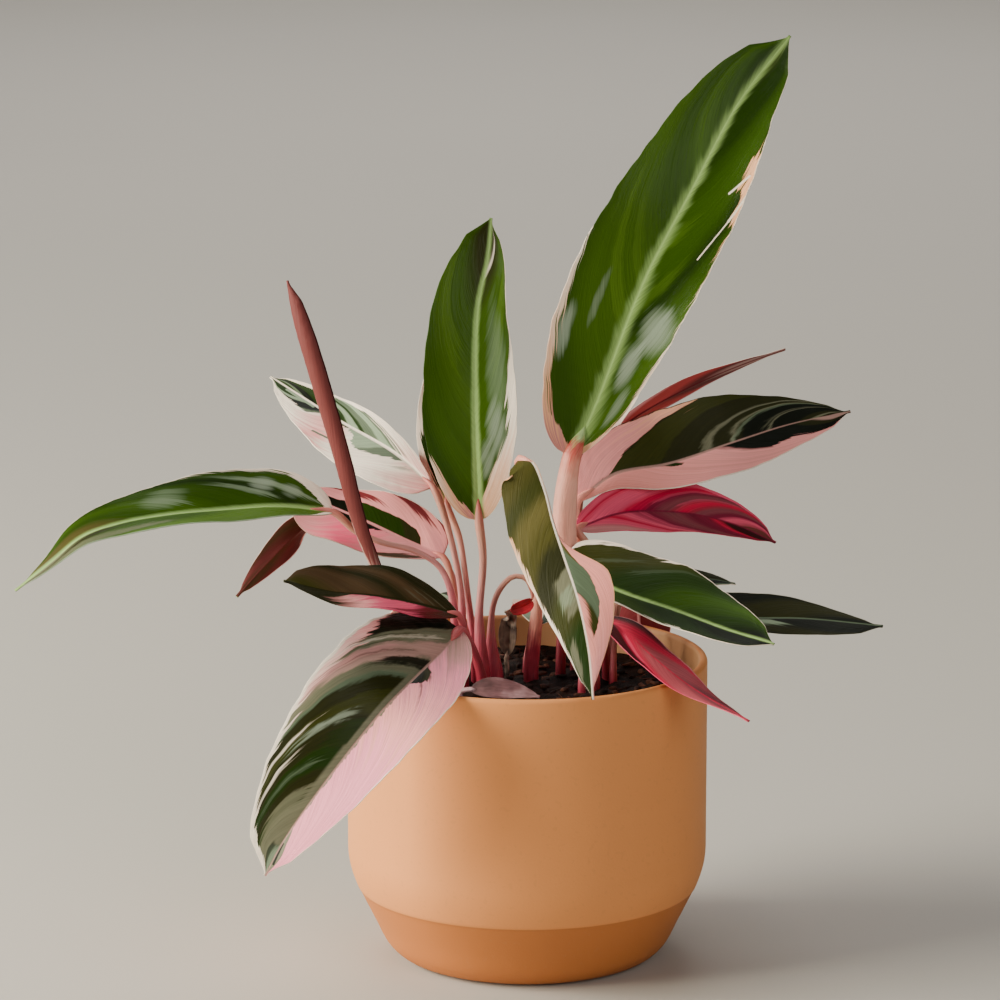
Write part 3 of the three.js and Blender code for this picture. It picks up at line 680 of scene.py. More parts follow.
class Look(NamedTuple):
    """The markings of one face of a blade."""

    left: Side
    right: Side
    midrib: str = "pale"
    breadth: tuple = (1.1, 0.4)  # half-width of the midrib's line at base and tip, in mm
    feather: float = 0.0  # how far the midrib's tone spreads along the side veins, in mm
    gloss: float = 0.34  # roughness
    streak: float = 0.15  # how much tones vary from vein to vein


UPPER = {
    "leaf_tall_right": Look(
        Side(
            bands=((-0.5, "green"), (0.05, "sedge"), (0.45, "green"), (0.62, "sedge"), (0.7, "green"),
                (0.82, "deep")),
            edge=((0, 0.1), (0.01, 0.18), (0.07, 0.8), (0.13, 0.9), (0.21, 0.88), (0.32, 0.93), (0.39, 0.95),
                (0.45, 0.985), (0.5, 1.2)),
            rim=((0, "rose"), (0.1, "peach"), (0.4, "cream")),
            hem=("peach", 1.1),
            patches=(("bright", 0.2, 0.27, 0.32, -0.1, 0.8), ("bright", 0.14, 0.37, 0.41, -0.1, 0.6)),
            # painted reflections: soft pale patches standing for the lamps' sheen
            painted_sheens=(("frost", 0.8, 0.25, 0.8, 0.06, 0.1), ("frost", 0.4, 0.33, 0.5, 0.06, 0.06)),
            blur=0.05,
        ),
        Side(
            bands=((-0.5, "sedge"), (0.05, "green"), (0.2, "deep"), (0.34, "green"), (0.6, "deep"),
                (0.9, "moss")),
            edge=((0, 0.1), (0.02, 0.36), (0.05, 0.82), (0.11, 0.98), (0.2, 0.92), (0.29, 0.96), (0.4, 0.985),
                (0.58, 0.985), (0.6, 0.9), (0.63, 0.97), (0.66, 0.82), (0.72, 0.84), (0.75, 0.985),
                (0.83, 1.2)),
            rim=((0, "peach"), (0.3, "cream"), (0.55, "peach")),
            hem=("cream", 0.985),
            lines=(("cream", 0.69, 0.9, 0.64, 0.66, 0.5), ("cream", 0.66, 1, 0.59, 0.86, 0.6),
                ("cream", 0.59, 0.86, 0.49, 0.68, 0.35)),
            patches=(("bright", 0.16, 0.3, 0.35, -0.1, 0.5), ("bright", 0.16, 0.45, 0.5, -0.1, 0.3)),
            # painted reflections: soft pale patches standing for the lamps' sheen
            painted_sheens=(("frost", 0.75, 0.31, 0.62, 0.06, 0.32), ("frost", 0.75, 0.22, 0.42, 0.06, 0.2),
                ("frost", 0.5, 0.13, 0.66, 0.05, 0.14)),
            blur=0.05,
        ),
        breadth=(1.2, -0.05),
        feather=8.0,
        gloss=0.3,
    ),
    "leaf_upright_centre": Look(
        Side(
            bands=((-0.5, "green"), (0.02, "sedge"), (0.3, "leaf"), (0.45, "sedge"), (0.72, "moss")),
            edge=((0, 0.05), (0.02, 0.3), (0.07, 0.66), (0.14, 0.84), (0.2, 0.93), (0.26, 1.1)),
            rim=((0, "rose"), (0.06, "peach"), (0.3, "cream")),
            hem=("cream", 1.1),
            patches=(("bright", 0.2, 0.4, 0.52, 0.3, 0.9),),
            blur=0.05,
        ),
        Side(
            bands=((-0.5, "green"), (0.15, "sedge"), (0.5, "sedge"), (0.7, "moss")),
            edge=((0, 0.05), (0.05, 0.14), (0.12, 0.36), (0.2, 0.58), (0.28, 0.74), (0.39, 0.8), (0.51, 0.88),
                (0.58, 0.97), (0.7, 1.1)),
            rim=((0, "peach"), (0.3, "cream")),
            hem=("cream", 0.97),
            patches=(("bright", 0.3, 0.34, 0.5, 0.5, 0.9), ("cream", 0.9, 0.78, 0.82, 0.0, 0.5)),
            # painted reflections: soft pale patches standing for the lamps' sheen
            painted_sheens=(("frost", 0.7, 0.3, 0.5, 0.1, 0.24), ("frost", 0.6, 0.2, 0.3, 0.07, 0.2),
                ("sage", 0.4, 0.5, 0.55, 0.24, 0.26)),
            blur=0.05,
        ),
        breadth=(2.0, 0.5),
        feather=1.5,
        gloss=0.3,
    ),
    "leaf_pale_left": Look(
        Side(
            bands=((-0.5, "grey"), (0.3, "sage"), (0.5, "deep"), (0.62, "grey"), (0.66, "black"),
                (0.74, "sage"),
                (0.78, "deep"), (0.9, "grey")),
            edge=((0.18, 0), (0.22, 0.12), (0.3, 0.3), (0.36, 0.42), (0.42, 0.36), (0.48, 0.1), (0.64, 0),
                (0.68, 0.12), (0.73, 0.36), (0.82, 0.48), (0.92, 0.62), (1, 0.9)),
            rim=((0, "pink"), (0.2, "cream"), (0.5, "cream"), (0.6, "pink"), (0.8, "cream")),
            lines=(("grey", 0.61, 0.72, 0.52, 0.58, 0.7), ("sage", 0.89, 0.16, 0.73, 0.08, 0.7)),
            patches=(("grey", 0.5, 0.1, 0.13, 0.1, 0.3),),
        ),
        Side(
            bands=((-0.5, "grey"), (0.02, "deep"), (0.06, "grey"), (0.25, "sage"), (0.33, "grey"),
                (0.42, "deep"),
                (0.46, "sage"), (0.52, "deep"), (0.7, "black"), (0.78, "grey"), (0.82, "deep")),
            edge=((0.12, 0), (0.2, 0.1), (0.23, 0.18), (0.35, 0.6), (0.46, 0.82), (0.58, 0.82), (0.68, 0.86),
                (0.8, 0.74), (0.89, 0.76), (1, 1)),
            rim=((0, "pink"), (0.25, "cream")),
            patches=(("deep", 0.6, 0.13, 0.16, 0.25, 0.8), ("cream", 0.7, 0.2, 0.215, 0.1, 0.8)),
        ),
        midrib="cream",
        gloss=0.38,
        streak=0.3,
    ),
    "leaf_long_left": Look(
        Side(
            bands=((-0.5, "leaf"), (0.3, "green"), (0.6, "umber"), (0.75, "ash")),
            edge=((0, 0.2), (0.06, 0.8), (0.1, 1.1)),
            rim=((0, "cream"),),
            hem=("sage", 0.95),
            patches=(("ash", 0.6, 0.35, 0.7, 0.5, 1.1),),
            blur=0.04,
        ),
        Side(
            bands=((-0.5, "green"), (0.05, "deep"), (0.15, "green"), (0.36, "sedge"), (0.5, "green"),
                (0.62, "lichen"), (0.8, "ash")),
            edge=((0, 0.04), (0.02, 0.08), (0.05, 0.48), (0.09, 0.8), (0.13, 0.93), (0.18, 0.97),
                (0.26, 0.985),
                (0.42, 0.985), (0.5, 1.1)),
            rim=((0, "cream"),),
            patches=(("sage", 0.6, 0.1, 0.15, 0.24, 0.66), ("sage", 0.75, -0.03, 0.03, 0.3, 0.82),
                ("sage", 0.4, 0.36, 0.42, 0.26, 0.54), ("ash", 0.5, 0.8, 0.95, 0.2, 0.8)),
            # painted reflections: soft pale patches standing for the lamps' sheen
            painted_sheens=(("frost", 0.7, 0.2, 0.6, 0.04, 0.2), ("frost", 0.5, 0.12, 0.45, 0.03, 0.2),
                ("sage", 0.5, 0.5, 0.5, 0.07, 0.3)),
            blur=0.03,
        ),
        midrib="pale",
        breadth=(0.9, 0.4),
        feather=1.5,
    ),
    "leaf_low_left": Look(
        Side(
            bands=((-0.5, "umber"), (0.3, "bark"), (0.6, "umber")),
            edge=((0, 0.1), (0.6, 0.04), (0.75, 0.34), (0.84, 0.64), (0.93, 0.86), (1, 1)),
            rim=((0, "umber"), (0.22, "maroon"), (0.3, "hot"), (0.52, "hot"), (0.62, "pink"),
                (0.76, "umber")),
            hem=("umber", 1.1),
            patches=(("maroon", 0.8, 0.05, 0.15, 0.1, 0.9),),
            blur=0.03,
        ),
        Side(
            bands=((-0.5, "umber"), (0.1, "bark"), (0.25, "umber"), (0.4, "bark"), (0.75, "olive")),
            edge=((0, 0.9), (0.1, 1.1)),
            hem=("umber", 1.1),
            patches=(("ash", 0.6, 0.05, 0.065, 0, 0.5), ("ash", 0.6, 0.12, 0.135, 0.05, 0.45),
                ("ash", 0.5, 0.2, 0.215, 0, 0.35), ("ash", 0.4, 0.92, 1.0, 0, 0.6)),
            blur=0.05,
        ),
        midrib="umber",
        gloss=0.45,
        streak=0.3,
    ),
    "leaf_mid_left": Look(
        Side(
            bands=((-0.5, "deep"), (0.3, "black")),
            edge=((0.35, 0), (0.46, 0.16), (0.58, 0.36), (0.73, 0.1), (0.76, 0)),
            rim=((0, "rose"), (0.3, "rose"), (0.6, "hot"), (0.8, "rose")),
            hem=("dusk", 0.98),
            patches=(("umber", 0.95, -0.25, 0.0, 0.68, 1.1),),
        ),
        Side(
            bands=((-0.5, "deep"), (0.1, "umber"), (0.25, "deep"), (0.6, "black")),
            edge=((0.1, 0), (0.15, 0.02), (0.18, 0.24), (0.23, 0.38), (0.34, 0.44), (0.45, 0.46), (0.59, 0.5),
                (0.76, 0.4), (0.9, 0.5), (1, 0.9)),
            jag=0.05,
            rim=((0, "rose"), (0.2, "pink"), (0.8, "rose")),
            patches=(("maroon", 0.95, 0.28, 0.42, 0.62, 1.1), ("maroon", 0.95, -0.14, 0.04, 0.74, 1.1),
                ("maroon", 0.9, -0.36, -0.27, 0.6, 1.1)),
        ),
        midrib="rose",
        gloss=0.4,
    ),
    "leaf_maroon_left": Look(
        Side(bands=((-0.5, "deep"), (0.3, "black"), (0.6, "deep")), edge=((0, 0.3), (0.3, 0.9), (0.6, 1.1))),
        Side(bands=((-0.5, "deep"), (0.4, "umber")), edge=((0, 0.4), (0.35, 0.8), (0.5, 0.6), (0.6, 1.1)),
            rim=((0, "pink"),)),
    ),
    "leaf_front_left": Look(
        Side(
            bands=((-0.5, "black"), (0.1, "umber"), (0.25, "black"), (0.4, "ash")),
            edge=((0, 0.1), (0.02, 0), (0.23, 0), (0.25, 0.2), (0.3, 0.26), (0.33, 0.02), (0.85, 0.04),
                (0.9, 0.2),
                (1, 0.8)),
            rim=((0, "rose"), (0.04, "dusk"), (0.2, "lilac"), (0.5, "pink"), (0.62, "lilac")),
            hem=("cream", 0.985),
            patches=(("ash", 0.3, -0.05, 0.1, 0.1, 0.6), ("umber", 0.85, 0.215, 0.235, -0.1, 0.3),
                ("black", 0.85, 0.265, 0.28, -0.1, 0.42)),
            lines=(("black", 0.9, 0.05, 0.96, 0.3, 0.7),),
            # painted reflection: a soft pale patch standing for the lamps' sheen
            painted_sheens=(("dusk", 0.5, 0.13, 0.6, 0.05, 0.5),),
            jag=0.15,
        ),
        Side(
            bands=((-0.5, "black"), (0, "ash"), (0.11, "dusk"), (0.2, "ash"), (0.28, "grey"), (0.31, "umber"),
                (0.38, "moss"), (0.46, "umber"), (0.56, "deep"), (0.64, "umber"), (0.72, "deep"),
                (0.78, "ash"), (0.84, "sage")),
            edge=((0, 1), (0.2, 1), (0.25, 0.85), (0.32, 0.8), (0.46, 0.88), (0.57, 0.95), (0.68, 0.97),
                (0.8, 0.96),
                (0.9, 0.86), (1, 0.3)),
            rim=((0, "rose"), (0.3, "pink"), (0.6, "cream")),
            hem=("cream", 0.965),
            patches=(("black", 0.95, 0.2, 0.25, -0.1, 0.5), ("umber", 0.7, 0.03, 0.042, 0.5, 0.9),
                ("umber", 0.7, 0.085, 0.1, 0.5, 0.85), ("rose", 0.4, 0.12, 0.17, 0.5, 1.1),
                ("cream", 0.5, 0.05, 0.062, 0.2, 0.9), ("umber", 0.6, 0.15, 0.165, 0.3, 0.8),
                ("deep", 0.6, 0.48, 0.6, -0.1, 0.34), ("frost", 0.6, 0.44, 0.47, 0.25, 0.7),
                ("cream", 0.95, 0.395, 0.41, 0.68, 1.1), ("cream", 0.95, 0.5, 0.515, 0.66, 1.1),
                ("grey", 0.6, 0.595, 0.62, 0.3, 0.75), ("black", 0.8, 0.86, 0.9, 0, 0.5),
                ("ash", 0.8, 0.7, 0.8, 0.1, 0.6)),
            lines=(("ash", 0.3, 0.05, 0.6, 0.05, 1.5), ("ash", 0.6, 0.05, 0.9, 0.12, 2.2)),
            waver=0.14,
        ),
        midrib="dusk",
        breadth=(0.7, 0.4),
        gloss=0.36,
        streak=0.28,
    ),
    "leaf_front_centre": Look(
        Side(
            bands=((-0.5, "olive"), (0.1, "grey"), (0.3, "lichen"), (0.4, "grey"), (0.6, "moss")),
            edge=((0.3, 0.5), (0.42, 0.48), (0.49, 0.46), (0.57, 0.52), (0.65, 0.56), (0.72, 0.5),
                (0.78, 0.3),
                (0.8, 0)),
            jag=0.12,
            rim=((0, "peach"), (0.35, "salmon"), (0.7, "salmon"), (0.9, "pink")),
            hem=("peach", 0.975),
            patches=(("salmon", 0.95, 0.6, 0.7, -0.1, 0.2), ("salmon", 0.95, 0.7, 0.82, -0.1, 0.34)),
        ),
        Side(
            bands=((-0.5, "olive"), (0.1, "moss"), (0.2, "lichen"), (0.3, "olive"), (0.4, "umber"),
                (0.56, "moss"),
                (0.7, "deep")),
            edge=((0, 1.1), (0.3, 1.1), (0.34, 0.93), (0.5, 0.88), (0.62, 0.92), (0.75, 0.86),
                (0.85, 0.92), (1, 1)),
            rim=((0, "dusk"), (0.1, "sage"), (0.3, "peach"), (0.7, "cream")),
            hem=("peach", 1.1),
            patches=(("ash", 0.9, 0.5, 0.66, -0.1, 0.46), ("sage", 0.4, 0.56, 0.62, 0.05, 0.5),
                ("ash", 0.9, 0.72, 0.84, 0.5, 0.9)),
            sweep=0.35,
            blur=0.02,
        ),
        midrib="cream",
        breadth=(0.5, 0.3),
        gloss=0.5,
        streak=0.22,
    ),
    "leaf_wide_right": Look(
        Side(
            bands=((-0.5, "umber"), (0.1, "moss"), (0.3, "umber"), (0.47, "ash"), (0.5, "umber"),
                (0.56, "ash"),
                (0.575, "umber"), (0.6, "black"), (0.7, "ash"), (0.712, "black"), (0.8, "umber"),
                (0.84, "ash"),
                (0.88, "umber"), (0.94, "dusk")),
            edge=((0.1, 0), (0.12, 0.02), (0.15, 0.1), (0.21, 0.46), (0.28, 0.66), (0.38, 0.84), (0.47, 0.92),
                (0.6, 1.1)),
            rim=((0, "pink"), (0.2, "pink"), (0.5, "peach")),
            hem=("umber", 0.985),
            patches=(("ash", 0.7, 0.66, 0.67, 0.1, 0.8), ("sage", 0.6, 0.565, 0.575, -0.1, 0.9)),
            waver=0.16,
        ),
        Side(
            bands=((-0.5, "pink"), (0.3, "deep"), (0.37, "pink"), (0.52, "black"), (0.78, "umber"),
                (0.86, "dusk")),
            edge=((0.25, 0), (0.3, 0.1), (0.36, 0.18), (0.42, 0.1), (0.5, 0.14), (0.56, 0.46), (0.66, 0.6),
                (0.78, 0.5), (0.9, 0.8), (1, 1)),
            rim=((0, "salmon"), (0.6, "pink")),
            hem=("cream", 0.96),
            blur=0.01,
        ),
        midrib="dusk",
        breadth=(0.8, 0.05),
        gloss=0.42,
        streak=0.26,
    ),
    "leaf_crimson_right": Look(
        Side(bands=((-0.5, "deep"), (0.3, "umber")), edge=((0, 0.4), (0.4, 1.1)), rim=((0, "pink"),)),
        Side(bands=((-0.5, "deep"), (0.5, "green")), edge=((0, 0.4), (0.4, 0.9)), rim=((0, "pink"),)),
    ),
    # The darker tones of this low leaf partly stand for the shade it lies in; the rest is its own deep green.
    "leaf_low_right": Look(
        Side(
            bands=((-0.5, "moss"), (0.15, "deep"), (0.4, "green"), (0.6, "deep"), (0.8, "black")),
            edge=((0, 0.5), (0.04, 0.8), (0.1, 0.92), (0.2, 0.96), (0.3, 0.985), (0.5, 0.99), (0.7, 1.1)),
            rim=((0, "cream"),),
            patches=(("grey", 0.4, 0.0, 0.04, 0.4, 0.8), ("grey", 0.3, 0.16, 0.2, 0.5, 0.9)),
            blur=0.05,
        ),
        Side(
            bands=((-0.5, "green"), (0.3, "deep"), (0.6, "black")),
            edge=((0, 0.5), (0.08, 0.9), (0.3, 1.1), (0.34, 0.96), (0.66, 0.96), (0.7, 1.1)),
            rim=((0, "cream"),),
            blur=0.05,
        ),
        midrib="pale",
        breadth=(0.9, 0.4),
        feather=1.6,
        gloss=0.42,
    ),
    # The near-black tones of this low leaf partly stand for the shade it lies in; the rest is its own dark
    # green.
    "leaf_far_right": Look(
        Side(bands=((-0.5, "black"), (0.3, "umber"), (0.7, "black")), hem=("umber", 0.97), blur=0.05),
        Side(bands=((-0.5, "black"), (0.2, "umber"), (0.5, "black")), hem=("umber", 0.97), blur=0.05,
            patches=(("sage", 0.8, 0.05, 0.55, 0.12, 0.42),)),
        midrib="grey",
        breadth=(0.7, 0.3),
        gloss=0.5,
    ),
    # The near-black tones of this low leaf partly stand for the shade it lies in; the rest is its own dark
    # green.
    "leaf_small_right": Look(
        Side(bands=((-0.5, "black"), (0.4, "umber")), blur=0.05, hem=("umber", 0.95)),
        Side(bands=((-0.5, "umber"), (0.4, "black")), edge=((0, 0.5), (0.6, 0.8), (1, 0.6)),
            rim=((0, "grey"),)),
        midrib="grey",
        breadth=(0.6, 0.3),
        gloss=0.5,
    ),
    "leaf_rim_right": Look(
        Side(bands=((-0.5, "wine"), (-0.1, "maroon"), (0.02, "crimson"), (0.26, "dusty"), (0.6, "mauve"),
                (0.85, "clay")),
            hem=("rose", 0.94), blur=0.04, jag=0.6),
        Side(bands=((-0.5, "wine"), (0.12, "crimson"), (0.26, "dusty"), (0.6, "mauve"), (0.85, "clay")),
            blur=0.04, hem=("hot", 0.97), patches=(("hot", 0.5, 0.12, 0.2, 0.3, 0.8),)),
        midrib="crimson",
        breadth=(0.4, 0.3),
        gloss=0.45,
        streak=0.35,
    ),
    "leaf_thin_right": Look(
        Side(bands=((-0.5, "green"), (0.4, "deep")), rim=((0, "pink"),),
            edge=((0, 0.2), (0.3, 0.8), (0.5, 1.1))),
        Side(bands=((-0.5, "deep"), (0.4, "green")), rim=((0, "pink"),),
            edge=((0, 0.2), (0.3, 0.8), (0.5, 1.1))),
    ),
    "leaf_rolled_new": Look(
        Side(bands=((-0.5, "wine"), (0.4, "mauve")), blur=0.05, hem=("wine", 0.9)),
        Side(bands=((-0.5, "mauve"), (0.6, "plum")), blur=0.05),
        midrib="mauve",
    ),
    "leaf_back_upright": Look(
        Side(bands=((-0.5, "deep"), (0.3, "green"), (0.45, "grey"), (0.5, "deep"), (0.7, "green")),
            edge=((0, 0.1), (0.1, 0.6), (0.3, 0.85), (0.55, 0.8), (0.7, 1.1)), rim=((0, "peach"),
                (0.3, "cream")),
            patches=(("sage", 0.7, 0.1, 0.2, 0.3, 0.8), ("leaf", 0.6, 0.56, 0.7, 0.2, 0.9))),
        Side(bands=((-0.5, "green"), (0.2, "deep"), (0.35, "sage"), (0.4, "green")),
            edge=((0, 0.1), (0.12, 0.7), (0.35, 0.95), (0.5, 1.1)), rim=((0, "pink"), (0.3, "cream")),
            patches=(("cream", 0.9, 0.16, 0.18, 0.4, 1.1), ("leaf", 0.6, 0.5, 0.6, 0.1, 0.8))),
        breadth=(0.9, 0.4),
        feather=4.0,
    ),
    "leaf_back_tall": Look(
        Side(bands=((-0.5, "deep"), (0.1, "green"), (0.3, "leaf"), (0.5, "deep"), (0.56, "grey"),
            (0.6, "green")),
            edge=((0, 0.1), (0.08, 0.7), (0.3, 0.9), (0.6, 0.94), (0.7, 1.1)), rim=((0, "peach"),
                (0.2, "cream")),
            blur=0.02),
        Side(bands=((-0.5, "green"), (0.2, "deep"), (0.6, "green")),
            edge=((0, 0.1), (0.1, 0.6), (0.2, 0.8), (0.4, 0.7), (0.55, 0.95), (0.7, 1.1)),
            rim=((0, "pink"), (0.3, "cream")), patches=(("sage", 0.6, 0.1, 0.16, 0.2, 0.7),), blur=0.03),
        breadth=(1.0, 0.4),
        feather=5.0,
    ),
    "leaf_back_low_left": Look(
        Side(bands=((-0.5, "deep"), (0.2, "sage"), (0.26, "deep"), (0.5, "grey"), (0.56, "black"),
            (0.8, "olive")),
            edge=((0, 0), (0.1, 0.1), (0.2, 0.5), (0.4, 0.8), (0.7, 1.1)), rim=((0, "rose"), (0.4, "pink")),
            waver=0.2),
        Side(bands=((-0.5, "umber"), (0.3, "grey"), (0.36, "deep"), (0.7, "umber")),
            edge=((0, 0), (0.15, 0.3), (0.4, 0.6), (0.6, 0.8), (0.8, 1.1)), rim=((0, "rose"), (0.3, "lilac")),
            waver=0.2),
        midrib="sage",
    ),
    "leaf_back_low_centre": Look(
        Side(bands=((-0.5, "sage"), (0.2, "deep"), (0.3, "grey"), (0.4, "deep"), (0.7, "black")),
            edge=((0, 1.1), (0.16, 1), (0.22, 0.3), (0.35, 0.5), (0.5, 0.3), (0.7, 0.6), (1, 1)),
            rim=((0, "pink"), (0.5, "cream")),
            waver=0.2),
        Side(bands=((-0.5, "deep"), (0.3, "black"), (0.5, "sage"), (0.55, "deep")),
            edge=((0, 1.1), (0.2, 1), (0.28, 0.2), (0.4, 0.4), (0.6, 0.7), (0.9, 0.9)),
            rim=((0, "rose"), (0.4, "lilac")),
            waver=0.2),
        midrib="cream",
    ),
    "leaf_back_low_right": Look(
        Side(bands=((-0.5, "deep"), (0.2, "green"), (0.5, "grey"), (0.54, "umber"), (0.8, "black")),
            edge=((0, 0.2), (0.2, 0.7), (0.4, 0.9), (0.6, 0.85), (0.8, 1.1)), rim=((0, "pink"),
                (0.4, "cream")),
            waver=0.2),
        Side(bands=((-0.5, "green"), (0.3, "deep"), (0.7, "umber")),
            edge=((0, 0.2), (0.15, 0.8), (0.4, 0.8), (0.6, 1.1)), rim=((0, "cream"),), waver=0.2, blur=0.02),
        feather=1.5,
    ),
}

PLAIN_UNDER = Look(
    Side(bands=((-0.5, "maroon"), (0.2, "dusty"), (0.5, "maroon")), rim=((0, "rose"),), hem=("rose", 0.97),
        blur=0.08),
    Side(bands=((-0.5, "crimson"), (0.1, "maroon"), (0.7, "dusty")), rim=((0, "rose"),), hem=("rose", 0.97),
        blur=0.08),
    midrib="rose",
    gloss=0.5,
)

UNDER = {
    "leaf_crimson_right": Look(
        Side(
            bands=((-0.5, "rose"), (0.0, "hot"), (0.1, "crimson"), (0.18, "hot"), (0.27, "plum"),
                (0.38, "mauve"),
                (0.5, "plum"), (0.66, "crimson"), (0.72, "wine")),
            hem=("hot", 0.95),
            patches=(("hot", 0.5, 0.05, 0.12, 0.1, 1.0), ("wine", 0.6, 0.74, 0.78, 0.2, 1.0),
                ("hot", 0.4, 0.28, 0.32, 0.0, 0.8)),
            blur=0.03,
        ),
        Side(
            bands=((-0.5, "hot"), (-0.1, "crimson"), (0.0, "hot"), (0.2, "crimson"), (0.3, "plum"),
                (0.37, "mauve"),
                (0.46, "crimson"), (0.54, "mauve"), (0.64, "plum"), (0.72, "hot"), (0.8, "brown")),
            hem=("hot", 0.9),
            patches=(("hot", 0.5, -0.05, 0.03, 0.3, 1.0), ("hot", 0.35, 0.3, 0.34, 0.3, 1.0),
                ("hot", 0.4, 0.44, 0.47, 0.2, 0.9)),
            blur=0.02,
        ),
        midrib="plum",
        breadth=(0.4, 0.2),
        gloss=0.45,
        streak=0.4,
    ),
    "leaf_maroon_left": Look(
        Side(bands=((-0.5, "brown"), (0.2, "bark"), (0.5, "brown"), (0.8, "umber")), hem=("rose", 0.97),
            blur=0.08),
        Side(bands=((-0.5, "brown"), (0.6, "bark"), (0.85, "umber")), hem=("rose", 0.95),
            spots=(("pink", 1.0, 0.5, 1.0, 0.07, 0.35),), blur=0.05),
        midrib="brown",
        breadth=(0.5, 0.2),
        gloss=0.45,
    ),
    "leaf_rim_right": Look(
        Side(bands=((-0.5, "maroon"), (0.05, "crimson"), (0.4, "hot"), (0.7, "crimson")), hem=("pink", 0.8)),
        Side(bands=((-0.5, "wine"), (0.1, "crimson"), (0.5, "crimson")), hem=("rose", 0.85)),
        midrib="hot",
        gloss=0.42,
    ),
    "leaf_thin_right": Look(
        Side(bands=((-0.5, "pink"), (0.02, "brick"), (0.3, "brown"), (0.6, "dusk")), hem=("rose", 0.9),
            blur=0.05),
        Side(bands=((-0.5, "pink"), (0.02, "brick"), (0.4, "brown"), (0.6, "dusk")), hem=("rose", 0.95),
            blur=0.05),
        midrib="maroon",
        breadth=(0.4, 0.2),
        gloss=0.5,
    ),
    "leaf_rolled_new": Look(
        Side(bands=((-0.5, "dusk"), (0.2, "clay"), (0.45, "dusk"), (0.6, "clay")), jag=0.1, blur=0.06,
            edge=((0, 0.5), (0.3, 0.22), (1, 0.18)), rim=((0, "dusk"), (0.12, "brown")), hem=("wine", 0.94)),
        Side(bands=((-0.5, "clay"), (0.15, "mauve"), (0.35, "clay"), (0.55, "mauve")), jag=0.1, blur=0.06,
            edge=((0, 0.5), (0.3, 0.22), (1, 0.18)), rim=((0, "dusk"), (0.12, "brown"))),
        midrib="clay",
        breadth=(0.5, 0.3),
        gloss=0.5,
        streak=0.25,
    ),
    "leaf_front_centre": Look(
        Side(bands=((-0.5, "peach"), (0.2, "rose"), (0.6, "peach")), hem=("peach", 0.95), blur=0.08),
        Side(bands=((-0.5, "peach"), (0.15, "rose"), (0.7, "peach")), hem=("peach", 0.95), blur=0.08),
        midrib="peach",
        gloss=0.5,
    ),
    "leaf_back_low_left": Look(
        Side(bands=((-0.5, "rose"), (0.2, "maroon"), (0.6, "rose")), hem=("pink", 0.94), blur=0.08),
        Side(bands=((-0.5, "rose"), (0.1, "rose"), (0.7, "maroon")), hem=("pink", 0.94), blur=0.08),
        midrib="rose",
        gloss=0.5,
    ),
}

# ---- Shader code ----


class Value:
    """A shader socket in an expression. Each operator on it adds a Math node."""

    def __init__(self, paint, socket):
        self.paint = paint
        self.socket = socket

    def math(self, operation, first, second=0.0):
        return self.paint.node("ShaderNodeMath", {"operation": operation}, {0: first, 1: second})

    def __add__(self, other):
        return self.math("ADD", self, other)

    def __radd__(self, other):
        return self.math("ADD", other, self)

    def __sub__(self, other):
        return self.math("SUBTRACT", self, other)

    def __rsub__(self, other):
        return self.math("SUBTRACT", other, self)

    def __mul__(self, other):
        return self.math("MULTIPLY", self, other)

    def __rmul__(self, other):
        return self.math("MULTIPLY", other, self)

    def __truediv__(self, other):
        return self.math("DIVIDE", self, other)

    def __rtruediv__(self, other):
        return self.math("DIVIDE", other, self)

    def __pow__(self, other):
        return self.math("POWER", self, other)

    def __abs__(self):
        return self.math("ABSOLUTE", self)

    def over(self, low, high):
        """0 below low, 1 above high, and a smooth rise between them."""
        settings = {"interpolation_type": "SMOOTHSTEP"}
        return self.paint.node("ShaderNodeMapRange", settings, {0: self, 1: low, 2: high})


